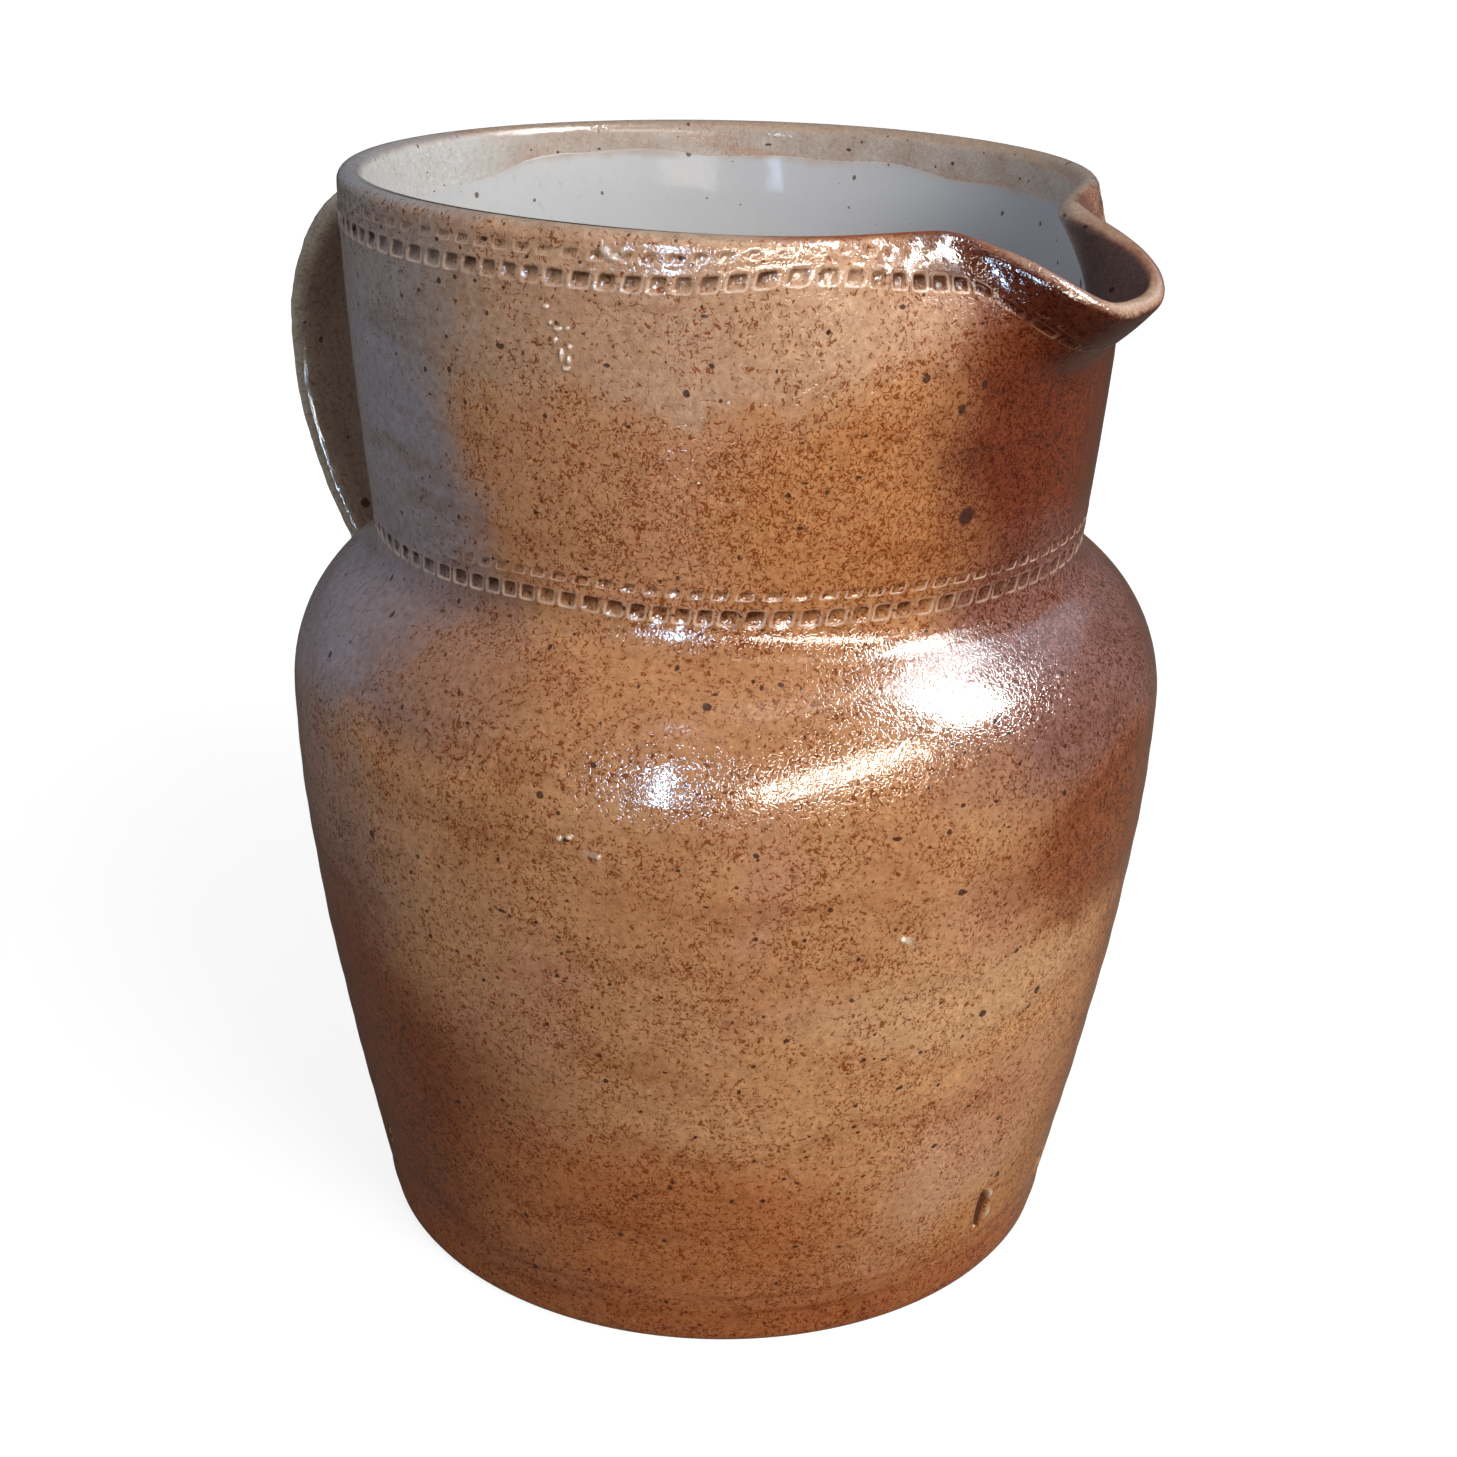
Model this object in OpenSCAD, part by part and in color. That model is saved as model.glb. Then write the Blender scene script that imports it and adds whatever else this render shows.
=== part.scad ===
// Stoneware pitcher: a wheel-thrown body with a broad collar and a pulled spout,
// a pulled strap handle luted on at two places, and a poured glaze coat inside.
// The axis of the pot is Z, the table is z = 0, the spout points to +X and the handle to -X.

/* [Thrown body] */
// Height from the table to the rim
height = 220; // [205:1:245]
// Diameter of the foot on the table
foot_d = 146; // [132:1:158]
// Lean of the wall at the foot, in degrees from upright
foot_lean = 11; // [8:0.5:14]
// Largest diameter of the belly
belly_d = 178; // [168:1:192]
// Height of the largest diameter
belly_z = 118; // [108:1:128]
// Radius of the turn from the belly into the shoulder
shoulder_r = 32; // [28:1:36]
// Diameter of the neck at its root, the narrowest place
neck_root_d = 143; // [132:1:150]
// Radius of the hollow where the shoulder meets the neck
root_r = 8; // [5:0.5:12]
// Outer diameter of the rim
rim_d = 152; // [146:1:166]
// Thickness of the thrown wall
wall = 5; // [4:0.25:6.5]
// Thickness of the floor
floor_t = 8; // [6:0.5:11]
// Radius of the foot's outer edge
foot_round = 2; // [1:0.5:4]
// Radius inside, between the floor and the wall
inside_round = 18; // [10:1:26]

/* [Pulled spout] */
// How far the lip is pulled out past the rim
spout_reach = 12; // [9:0.5:18]
// How far the lip drops below the rim
spout_drop = 10.75; // [8:0.25:16]
// How far the rim sinks on the whole side of the spout
rim_dip = 3.25; // [0:0.25:5]
// Width of the channel where it leaves the rim
spout_w = 39; // [32:1:48]
// Height of neck below the rim that the pull bends
spout_depth = 34; // [28:1:42]
// How far the rim is pinched in on both sides of the spout
pinch_depth = 9; // [3:0.5:10.5]
// Thinning of the lip at the tip of the spout
tip_thinning = 1.2; // [0:0.1:2]

/* [Strap handle] */
// Width of the strap at its upper end
handle_top_w = 36; // [28:1:44]
// Width of the strap at its lower end
handle_low_w = 31; // [24:1:40]
// Thickness of the strap at its upper end
handle_top_t = 10; // [8:0.5:12]
// Thickness of the strap at its lower end
handle_low_t = 7; // [6:0.5:9]
// Depth of the finger groove along the outer face
groove_depth = 1.1; // [0:0.1:2]
// Free space for the fingers between the neck and the strap
finger_gap = 28; // [18:0.5:34]
// Depth of the upper joint's middle below the rim
handle_top_drop = 11.5; // [9:0.5:16]
// Drop from the upper joint to the outermost point
handle_apex_drop = 34; // [24:1:38]
// Height of the lower joint's end above the widest line of the belly
handle_low_rise = 0.5; // [0:0.5:10]
// Lean of the strap where it runs into the shoulder, in degrees from upright
handle_low_lean = 36; // [22:1:40]
// Thickness of the clay worked in round each joint, at the wall
lute_t = 3; // [2:0.25:4.5]
// Thickness of the worked-in clay at its wiped edge
lute_edge_t = 0.5; // [0.4:0.1:1]

/* [Liner glaze] */
// Thickness of the glaze coat inside
glaze_t = 0.8; // [0.6:0.1:1.2]
// Depth of the coat's upper edge below the rim
glaze_drop = 9; // [8:0.5:18]

/* [Hidden] */
$fn = 96;

// Radii and heights that follow from the sizes above
foot_rad = foot_d / 2;
belly_rad = belly_d / 2;
rim_rad = rim_d / 2;
root_rad = neck_root_d / 2;
lip_rad = wall / 2;
shoulder_c = [belly_rad - shoulder_r, belly_z];
root_run = root_rad + root_r - shoulder_c.x;
root_c = [root_rad + root_r, belly_z + sqrt(pow(shoulder_r + root_r, 2) - pow(root_run, 2))];
shoulder_end = acos(root_run / (shoulder_r + root_r));

// The neck widens fast above its root and runs upright at the rim
neck_curve = 1.7;
neck_lean = atan(neck_curve * (rim_rad - root_rad) / (height - root_c.y));
neck_low = [root_c.x - root_r * cos(neck_lean), root_c.y + root_r * sin(neck_lean)];
function neck_rad(z) =
    let (x = (z - neck_low.y) / (height - neck_low.y))
    neck_low.x + (rim_rad - neck_low.x) * (1 - pow(1 - min(x, 1), neck_curve));

// The part of the neck that the spout bends starts here
collar_z = height - spout_depth;

// Steps of the curves
wall_steps = 16;
shoulder_steps = 12;
root_steps = 8;
neck_steps = 5;
corner_steps = 8;
edge_steps = 3;
collar_steps = 10;
lip_steps = 6;
glaze_steps = 6;
round_steps = 96;

// A point of a cubic curve, and an arc from angle a to angle b
function curve_pt(p, t) =
    pow(1 - t, 3) * p[0] + 3 * pow(1 - t, 2) * t * p[1] + 3 * (1 - t) * t * t * p[2] + pow(t, 3) * p[3];
function arc(c, r, a, b, n) = [for (i = [0:n]) let (t = a + (b - a) * i / n) c + r * [cos(t), sin(t)]];
function unit(v) = v / norm(v);

// Outline of the outside from the foot to the start of the collar, as [radius, height]
wall_low_pull = 0.36;
wall_high_pull = 0.30;
wall_curve = let (rise = belly_z - foot_round) [
    [foot_rad, foot_round],
    [foot_rad, foot_round] + wall_low_pull * rise * [sin(foot_lean), cos(foot_lean)],
    [belly_rad, belly_z - wall_high_pull * rise],
    [belly_rad, belly_z]
];
outer_wall = concat(
    [for (i = [0:wall_steps - 1]) curve_pt(wall_curve, i / wall_steps)],
    arc(shoulder_c, shoulder_r, 0, shoulder_end, shoulder_steps),
    arc(root_c, root_r, 180 + shoulder_end, 180 - neck_lean, root_steps),
    [for (i = [1:neck_steps])
        let (z = neck_low.y + (collar_z - neck_low.y) * i / neck_steps) [neck_rad(z), z]]
);
last = len(outer_wall) - 1;
function outward(i) =
    let (d = outer_wall[min(i + 1, last)] - outer_wall[max(i - 1, 0)]) unit([d.y, -d.x]);

// The inside, set in from the outside by the wall and a further depth for the glaze coat
function inside(depth) =
    let (
        t = wall + depth,
        bend = inside_round - depth,
        low = floor_t + inside_round,
        side = [for (i = [0:last]) outer_wall[i] - t * outward(i)],
        at_low = lookup(low, [for (p = side) [p.y, p.x]]),
        free = [for (p = side) if (p.y > low && p.y < collar_z - wall / 2) p]
    )
    concat(
        [[0, floor_t + depth]],
        arc([at_low - bend, low], bend, -90, 0, corner_steps),
        free,
        [[neck_rad(collar_z) - t, collar_z]]
    );
function backwards(list) = [for (i = [len(list) - 1:-1:0]) list[i]];
foot_edge = arc([foot_rad - foot_round, foot_round], foot_round, -90, 0, edge_steps);

// Bend of the spout: half angles of the channel, of the lip's sink, of the pinch beside it and of the rim's dip
spout_half = asin(spout_w / 2 / (rim_rad + spout_reach / 4));
sink_half = 0.94 * spout_half;
pinch_at = 1.6 * spout_half;
pinch_near = 0.65 * spout_half;
pinch_far = 1.45 * spout_half;
dip_angle = 56;
channel_power = 5.4;
sink_power = 3.5;
pull_power = 2.3;
function bell(x) = exp(-x * x);
function channel(a) = exp(-pow(abs(a) / spout_half, channel_power));
function pinch(a) = let (d = abs(a) - pinch_at) bell(d / (d < 0 ? pinch_near : pinch_far));
function sink(a) =
    spout_drop * exp(-pow(abs(a) / sink_half, sink_power)) + rim_dip * bell(a / dip_angle);
function ease(x) = let (t = max(0, min(1, x))) t * t * (3 - 2 * t);
function pull(z) = max(0, (z - collar_z) / (height - lip_rad - collar_z));

// Middle of the bent wall at angle a from the spout and thrown height z
function mid(a, z) =
    let (
        u = pull(z),
        r = neck_rad(z) - wall / 2 + pow(u, pull_power) * (spout_reach * channel(a) - pinch_depth * pinch(a))
    )
    [r * cos(a), r * sin(a), z - ease(u) * sink(a)];
probe = 0.2;
function around(a, z) = mid(a + probe, z) - mid(a - probe, z);
function upward(a, z) = unit(mid(a, z + probe) - mid(a, z - probe));
function outside_dir(a, z) = unit(cross(around(a, z), upward(a, z)));
function half_wall(a, z) = wall / 2 - tip_thinning / 2 * pull(z) * channel(a);

// Angles round the collar, closest together at the spout
crowding = 0.45;
function turn(i) = let (t = 360 * i / round_steps - 180) t - crowding * sin(t) * 180 / PI;

// The collar's foot is a tongue inside the plain wall below it, set in more on its hollow side
lap = 1;
lap_inset = 0.28;
lap_inset_hollow = 0.36;
glaze_inset = 0.35 * glaze_t;
glaze_inset_hollow = 0.45 * glaze_t;
lip_base = height - lip_rad;
collar_zs = [for (i = [1:collar_steps]) collar_z + (lip_base - collar_z) * i / collar_steps];
function tongue(a, r) = [r * cos(a), r * sin(a), collar_z - lap];
function collar_ring(a) = concat(
    [tongue(a, neck_rad(collar_z - lap) - lap_inset)],
    [for (z = collar_zs) mid(a, z) + half_wall(a, z) * outside_dir(a, z)],
    [for (i = [1:lip_steps - 1])
        let (b = 180 * i / lip_steps, z = lip_base)
        mid(a, z) + half_wall(a, z) * (cos(b) * outside_dir(a, z) + sin(b) * upward(a, z))],
    [for (z = backwards(collar_zs)) mid(a, z) - half_wall(a, z) * outside_dir(a, z)],
    [tongue(a, neck_rad(collar_z - lap) - wall + lap_inset_hollow)]
);

// The glaze coat on the bent wall
glaze_zs = [for (i = [1:glaze_steps]) collar_z + (height - glaze_drop - collar_z) * i / glaze_steps];
function glaze_ring(a) = concat(
    [tongue(a, neck_rad(collar_z - lap) - wall - glaze_inset)],
    [for (z = glaze_zs) mid(a, z) - half_wall(a, z) * outside_dir(a, z)],
    [for (z = backwards(glaze_zs)) mid(a, z) - (half_wall(a, z) + glaze_t) * outside_dir(a, z)],
    [tongue(a, neck_rad(collar_z - lap) - wall - glaze_t + glaze_inset_hollow)]
);

// A closed ring of outlines, each joined to the next
module ring_loft(rings) {
    n = len(rings);
    m = len(rings[0]);
    polyhedron(
        points = [for (r = rings) each r],
        faces = [for (i = [0:n - 1]) for (j = [0:m - 1])
            let (
                a = i * m + j,
                b = ((i + 1) % n) * m + j,
                c = ((i + 1) % n) * m + (j + 1) % m,
                d = i * m + (j + 1) % m
            )
            each [[a, c, b], [a, d, c]]]
    );
}

// The strap's middle line: out of the neck, over the apex, down into the shoulder
handle_top_z = height - handle_top_drop;
handle_apex_z = handle_top_z - handle_apex_drop;
handle_low_z = belly_z + handle_low_rise;
handle_mid_t = (handle_top_t + handle_low_t) / 2;
apex = [-(neck_rad(handle_apex_z) + finger_gap + handle_mid_t / 2), handle_apex_z];
top_end = [-(neck_rad(handle_top_z) - wall / 2), handle_top_z];
low_end = [-(lookup(handle_low_z, [for (p = outer_wall) [p.y, p.x]]) - wall - lip_rad / 2), handle_low_z];
top_tilt = 4;
top_pull = 0.66;
apex_pull = 0.52;
low_pull = 0.40;
over = let (out = top_end.x - apex.x) [
    top_end,
    top_end + top_pull * out * [-cos(top_tilt), sin(top_tilt)],
    apex + [0, apex_pull * handle_apex_drop],
    apex
];
down = let (fall = handle_apex_z - handle_low_z) [
    apex,
    apex - [0, low_pull * fall],
    low_end + low_pull * fall * [-sin(handle_low_lean), cos(handle_low_lean)],
    low_end
];

// Below s = 0 the line runs straight on into the wall, until the strap's flat end is covered at its full width
bury_margin = 1;
top_half = handle_top_w / 2 + lute_t + lute_edge_t;
top_rad = neck_rad(handle_top_z);
top_bury = top_rad - sqrt(pow(top_rad, 2) - pow(top_half, 2)) + bury_margin - wall / 2;
top_run = 3 * (over[1] - over[0]);
top_start = -top_bury / norm(top_run);
function strap_pt(s) = s < 0 ? top_end + s * top_run : s < 1 ? curve_pt(over, s) : curve_pt(down, s - 1);
function strap_dir(s) = let (e = 0.01) unit(strap_pt(min(s + e, 2)) - strap_pt(s - e));
function strap_w(s) = handle_top_w + (handle_low_w - handle_top_w) * max(s, 0) / 2;
function strap_t(s) = handle_top_t + (handle_low_t - handle_top_t) * max(s, 0) / 2;

// One outline across the strap, grown by a margin: a flat oval with a shallow groove outside
section_steps = 24;
roundness = 2.6;
groove_share = 1 / 3;
function squash(v) = sign(v) * pow(abs(v), 2 / roundness);
function strap_section(s, grow) =
    let (
        c = strap_pt(s),
        d = strap_dir(s),
        n = [d.y, -d.x],
        w = strap_w(s) / 2 + grow,
        t = strap_t(s) / 2 + grow
    )
    [for (i = [0:section_steps - 1])
        let (
            b = 360 * i / section_steps,
            p = w * squash(cos(b)),
            dip = sin(b) < 0 ? groove_depth * bell(p / w / groove_share) : 0,
            q = -t * squash(sin(b)) - dip
        )
        [c.x + q * n.x, p, c.y + q * n.y]];

// A solid swept through open outlines, with flat ends
module sweep(sections) {
    n = len(sections);
    m = len(sections[0]);
    polyhedron(
        points = [for (s = sections) each s],
        faces = concat(
            [[for (j = [0:m - 1]) j]],
            [for (i = [0:n - 2]) for (j = [0:m - 1])
                let (a = i * m + j, b = i * m + (j + 1) % m)
                each [[a, b + m, b], [a, a + m, b + m]]],
            [[for (j = [m - 1:-1:0]) (n - 1) * m + j]]
        )
    );
}
strap_steps = 32;
module strap() {
    sweep(concat(
        [strap_section(top_start, 0)],
        [for (i = [0:strap_steps]) strap_section(2 * i / strap_steps, 0)]
    ));
}

// Worked-in clay: the strap grown most at the wall, thinning to a wiped edge along the strap
lute_steps = 6;
upper_span = 0.26;
lower_span = 0.26;
full_share = 0.3;
function lute_grow(x) = lute_edge_t + lute_t * pow(1 - max(0, (x - full_share) / (1 - full_share)), 2);
module upper_swelling() {
    sweep(concat(
        [strap_section(top_start, lute_grow(0))],
        [for (i = [0:lute_steps])
            let (x = i / lute_steps) strap_section(upper_span * x, lute_grow(x))]
    ));
}
module lower_swelling() {
    sweep([for (i = [lute_steps:-1:0])
        let (x = i / lute_steps) strap_section(2 - lower_span * x, lute_grow(x))]);
}

// The space that the body fills, without its hollow
module filled_body() {
    above = 4;
    rotate_extrude()
        polygon(concat(
            [[0, 0]],
            foot_edge,
            [for (i = [1:last]) outer_wall[i]],
            [for (z = collar_zs) [neck_rad(z), z]],
            [[rim_rad, height + above], [0, height + above]]
        ));
}

module thrown_body() {
    color([0.66, 0.48, 0.32]) {
        rotate_extrude()
            polygon(concat(
                [[0, 0]],
                foot_edge,
                [for (i = [1:last]) outer_wall[i]],
                backwards(inside(0))
            ));
        ring_loft([for (i = [0:round_steps - 1]) collar_ring(turn(i))]);
    }
}

module handle() {
    color([0.40, 0.33, 0.28])
        difference() {
            strap();
            filled_body();
        }
}

module upper_lute() {
    color([0.47, 0.37, 0.29])
        difference() {
            upper_swelling();
            strap();
            filled_body();
        }
}

module lower_lute() {
    color([0.47, 0.37, 0.29])
        difference() {
            lower_swelling();
            strap();
            filled_body();
        }
}

module liner_glaze() {
    color([0.86, 0.84, 0.80]) {
        rotate_extrude()
            polygon(concat(inside(0), backwards(inside(glaze_t))));
        ring_loft([for (i = [0:round_steps - 1]) glaze_ring(turn(i))]);
    }
}

thrown_body();
handle();
upper_lute();
lower_lute();
liner_glaze();
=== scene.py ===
import math

import bmesh
import bpy
import numpy as np
from mathutils import Matrix, Quaternion, Vector


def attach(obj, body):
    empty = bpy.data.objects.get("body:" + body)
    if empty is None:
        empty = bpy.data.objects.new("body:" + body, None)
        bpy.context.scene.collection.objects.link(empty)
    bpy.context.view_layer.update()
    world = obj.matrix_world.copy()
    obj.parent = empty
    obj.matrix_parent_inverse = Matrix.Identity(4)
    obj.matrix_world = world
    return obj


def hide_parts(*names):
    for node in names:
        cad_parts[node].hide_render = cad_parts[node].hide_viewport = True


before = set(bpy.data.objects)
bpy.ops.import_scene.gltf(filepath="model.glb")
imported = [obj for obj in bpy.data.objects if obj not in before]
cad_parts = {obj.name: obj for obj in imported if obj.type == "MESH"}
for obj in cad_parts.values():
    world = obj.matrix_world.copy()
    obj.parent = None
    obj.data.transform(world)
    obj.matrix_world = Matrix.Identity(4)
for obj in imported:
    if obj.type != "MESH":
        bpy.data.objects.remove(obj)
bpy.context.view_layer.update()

MM = 0.001

# Sizes of the pot in millimetres and degrees, as in the part's source
HEIGHT = 220.0
FOOT_RAD = 73.0
FOOT_LEAN = 11.0
FOOT_ROUND = 2.0
BELLY_RAD = 89.0
BELLY_Z = 118.0
WALL_LOW_PULL, WALL_HIGH_PULL = 0.36, 0.30
SHOULDER_R = 32.0
ROOT_RAD = 71.5
ROOT_R = 8.0
RIM_RAD = 76.0
WALL = 5.0
FLOOR_T = 8.0
INSIDE_ROUND = 18.0
GLAZE_T = 0.8
GLAZE_TOP = HEIGHT - 9.0
SPOUT_REACH = 12.0
SPOUT_DROP = 10.75
RIM_DIP = 3.25
DIP_ANGLE = 56.0
SPOUT_W = 39.0
SPOUT_DEPTH = 34.0
PINCH_DEPTH = 9.0
TIP_THINNING = 1.2
NECK_CURVE = 1.7
CHANNEL_POWER = 5.4
SINK_POWER = 3.5
PULL_POWER = 2.3
HANDLE_TOP_W, HANDLE_LOW_W = 36.0, 31.0
HANDLE_TOP_T, HANDLE_LOW_T = 10.0, 7.0
GROOVE_DEPTH = 1.1
FINGER_GAP = 28.0
HANDLE_TOP_Z = HEIGHT - 11.5
HANDLE_APEX_Z = HANDLE_TOP_Z - 34.0
HANDLE_LOW_Z = BELLY_Z + 0.5
HANDLE_LOW_LEAN = 36.0
HANDLE_TOP_TILT = 4.0
TOP_PULL, APEX_PULL, LOW_PULL = 0.66, 0.52, 0.40

# Places that follow from the sizes
LIP_RAD = WALL / 2
LIP_BASE = HEIGHT - LIP_RAD
COLLAR_Z = HEIGHT - SPOUT_DEPTH
SHOULDER_C = np.array([BELLY_RAD - SHOULDER_R, BELLY_Z])
ROOT_RUN = ROOT_RAD + ROOT_R - SHOULDER_C[0]
ROOT_C = np.array([ROOT_RAD + ROOT_R, BELLY_Z + math.sqrt((SHOULDER_R + ROOT_R) ** 2 - ROOT_RUN ** 2)])
SHOULDER_END = math.acos(ROOT_RUN / (SHOULDER_R + ROOT_R))
NECK_LEAN = math.atan(NECK_CURVE * (RIM_RAD - ROOT_RAD) / (HEIGHT - ROOT_C[1]))
NECK_LOW = ROOT_C + ROOT_R * np.array([-math.cos(NECK_LEAN), math.sin(NECK_LEAN)])
SPOUT_HALF = math.degrees(math.asin(SPOUT_W / 2 / (RIM_RAD + SPOUT_REACH / 4)))
SINK_HALF = 0.94 * SPOUT_HALF
PINCH_AT = 1.6 * SPOUT_HALF
PINCH_NEAR = 0.65 * SPOUT_HALF
PINCH_FAR = 1.45 * SPOUT_HALF


# Small curves
def bell(x):
    return np.exp(-x * x)


def ease(x):
    t = np.clip(x, 0, 1)
    return t * t * (3 - 2 * t)


def plateau(x, low, high, soft):
    """1 between low and high, falling to 0 over soft edges."""
    return ease((x - low) / soft + 0.5) * ease((high - x) / soft + 0.5)


def swell(a, height, at, half):
    """A single rise of some height round an angle."""
    return height * bell((a - at) / half)


def waves(t, parts):
    """A sum of sine waves, each a reach, a count and a phase."""
    return sum(reach * np.sin(count * t + phase) for reach, count, phase in parts)


def unit(v):
    return v / np.linalg.norm(v, axis=-1, keepdims=True)


def arc(centre, radius, start, end, steps):
    t = np.linspace(start, end, steps + 1)[:, None]
    return centre + radius * np.concatenate([np.cos(t), np.sin(t)], 1)


def cubic(p, steps):
    t = np.linspace(0, 1, steps + 1)[:, None]
    return (1 - t) ** 3 * p[0] + 3 * (1 - t) ** 2 * t * p[1] + 3 * (1 - t) * t * t * p[2] + t ** 3 * p[3]


# The thrown outline, as radius and height
def neck_rad(z):
    x = np.clip((z - NECK_LOW[1]) / (HEIGHT - NECK_LOW[1]), 0, 1)
    return NECK_LOW[0] + (RIM_RAD - NECK_LOW[0]) * (1 - (1 - x) ** NECK_CURVE)


def wall_curve(steps):
    rise = BELLY_Z - FOOT_ROUND
    lean = math.radians(FOOT_LEAN)
    foot = np.array([FOOT_RAD, FOOT_ROUND])
    belly = np.array([BELLY_RAD, BELLY_Z])
    return cubic([
        foot,
        foot + WALL_LOW_PULL * rise * np.array([math.sin(lean), math.cos(lean)]),
        belly - np.array([0, WALL_HIGH_PULL * rise]),
        belly,
    ], steps)


def shoulder_curve(steps):
    return arc(SHOULDER_C, SHOULDER_R, 0, SHOULDER_END, steps)


def root_curve(steps):
    return arc(ROOT_C, ROOT_R, math.pi + SHOULDER_END, math.pi - NECK_LEAN, steps)


def neck_line(zs):
    zs = np.asarray(zs)
    return np.stack([neck_rad(zs), zs], 1)


FINE_OUTLINE = np.concatenate([
    wall_curve(200)[:-1],
    shoulder_curve(100)[:-1],
    root_curve(60)[:-1],
    neck_line(np.linspace(NECK_LOW[1], HEIGHT, 200)),
])


def outer_rad(z):
    return np.interp(z, FINE_OUTLINE[:, 1], FINE_OUTLINE[:, 0])


def inset(outline, depth):
    """The outline moved inwards along its normals."""
    d = np.gradient(outline, axis=0)
    return outline - depth * unit(np.stack([d[:, 1], -d[:, 0]], 1))


FLOOR_RINGS = (0, 0.3, 0.6, 0.85)


def inside_outline(depth, fineness, neck_zs):
    """The inside from the floor's middle up, set in from the outside by the wall and a further depth."""
    outline = np.concatenate([
        wall_curve(10 * fineness)[:-1],
        shoulder_curve(5 * fineness)[:-1],
        root_curve(2 * fineness),
        neck_line(neck_zs),
    ])
    side = inset(outline, WALL + depth)
    corner_z = FLOOR_T + INSIDE_ROUND
    corner_r = INSIDE_ROUND - depth
    corner_x = np.interp(corner_z, side[:, 1], side[:, 0]) - corner_r
    corner = arc(np.array([corner_x, corner_z]), corner_r, -math.pi / 2, 0, 4 * fineness)
    floor = [[share * corner_x, FLOOR_T + depth] for share in FLOOR_RINGS]
    return np.concatenate([floor, corner, side[side[:, 1] > corner_z + 1]])


# The pulled spout bends the upper part of the neck
PROBE = 0.2
TURN_SPEED = 3.0


def channel(a):
    return np.exp(-(np.abs(a) / SPOUT_HALF) ** CHANNEL_POWER)


def pinch(a):
    d = np.abs(a) - PINCH_AT
    return bell(d / np.where(d < 0, PINCH_NEAR, PINCH_FAR))


def sink(a):
    return SPOUT_DROP * np.exp(-(np.abs(a) / SINK_HALF) ** SINK_POWER) + RIM_DIP * bell(a / DIP_ANGLE)


def pull(z):
    return np.maximum(0, (z - COLLAR_Z) / (LIP_BASE - COLLAR_Z))


def middle(a, z):
    u = pull(z)
    r = neck_rad(z) - WALL / 2 + u ** PULL_POWER * (SPOUT_REACH * channel(a) - PINCH_DEPTH * pinch(a))
    t = np.radians(a)
    return np.stack([r * np.cos(t), r * np.sin(t), z - ease(u) * sink(a)], -1)


def bend(p):
    """Takes points of the plain thrown shape to the shape with the pulled spout."""
    p = p.copy()
    high = p[:, 2] > COLLAR_Z
    q = p[high]
    a = np.degrees(np.arctan2(q[:, 1], q[:, 0]))
    z = np.minimum(q[:, 2], LIP_BASE)
    rise = q[:, 2] - z
    off = np.hypot(q[:, 0], q[:, 1]) - (neck_rad(z) - WALL / 2)
    upward = unit(middle(a, z + PROBE) - middle(a, z - PROBE))
    outward = unit(np.cross(middle(a + PROBE, z) - middle(a - PROBE, z), upward))
    flat = np.stack([np.cos(np.radians(a)), np.sin(np.radians(a)), 0 * a], 1)
    w = np.clip(TURN_SPEED * pull(z), 0, 1)[:, None]
    outward = unit(flat + w * (outward - flat))
    upward = unit(np.array([0, 0, 1]) + w * (upward - np.array([0, 0, 1])))
    thin = 1 - TIP_THINNING / WALL * pull(z) * channel(a)
    p[high] = middle(a, z) + (thin * off)[:, None] * outward + (thin * rise)[:, None] * upward
    return p


# Mesh helpers
def points_of(mesh):
    co = np.zeros(len(mesh.vertices) * 3)
    mesh.vertices.foreach_get("co", co)
    return co.reshape(-1, 3) / MM


def move_points(mesh, p):
    mesh.vertices.foreach_set("co", (p * MM).ravel())
    mesh.update()


def turn_outline(bm, outline, steps):
    """Lays a grid round the axis, so that each of its columns follows the outline."""
    rows = len(outline) - 1
    grid = bmesh.ops.create_grid(bm, x_segments=steps, y_segments=rows, size=1)["verts"]
    for v in grid:
        t = math.pi * (v.co.x + 1)
        r, z = outline[round((v.co.y + 1) / 2 * rows)]
        v.co = Vector((r * math.cos(t), r * math.sin(t), z)) * MM
    bmesh.ops.remove_doubles(bm, verts=grid, dist=0.002 * MM)


def open_loop(bm, z_low, z_high):
    """The boundary edges between two heights, in millimetres."""
    return [e for e in bm.edges if e.is_boundary and all(z_low < v.co.z / MM < z_high for v in e.verts)]


def wrap_grid(bm, rings):
    """A grid whose rows are laid on rings of points."""
    rows, across = len(rings) - 1, len(rings[0])
    grid = bmesh.ops.create_grid(bm, x_segments=rows, y_segments=across, size=1)["verts"]
    for v in grid:
        i = round((v.co.x + 1) / 2 * rows)
        j = round((v.co.y + 1) / 2 * across) % across
        v.co = Vector(rings[i][j]) * MM
    bmesh.ops.remove_doubles(bm, verts=grid, dist=0.001 * MM)


def finish_mesh(bm, name):
    bmesh.ops.recalc_face_normals(bm, faces=bm.faces)
    mesh = bpy.data.meshes.new(name)
    bm.to_mesh(mesh)
    bm.free()
    mesh.polygons.foreach_set("use_smooth", [True] * len(mesh.polygons))
    piece = bpy.data.objects.new(name, mesh)
    bpy.context.scene.collection.objects.link(piece)
    return piece


def set_attribute(mesh, name, values):
    values = np.asarray(values, np.float32)
    kind, field = ("FLOAT", "value") if values.ndim == 1 else ("FLOAT_VECTOR", "vector")
    mesh.attributes.new(name, kind, "POINT").data.foreach_set(field, values.ravel())


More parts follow.
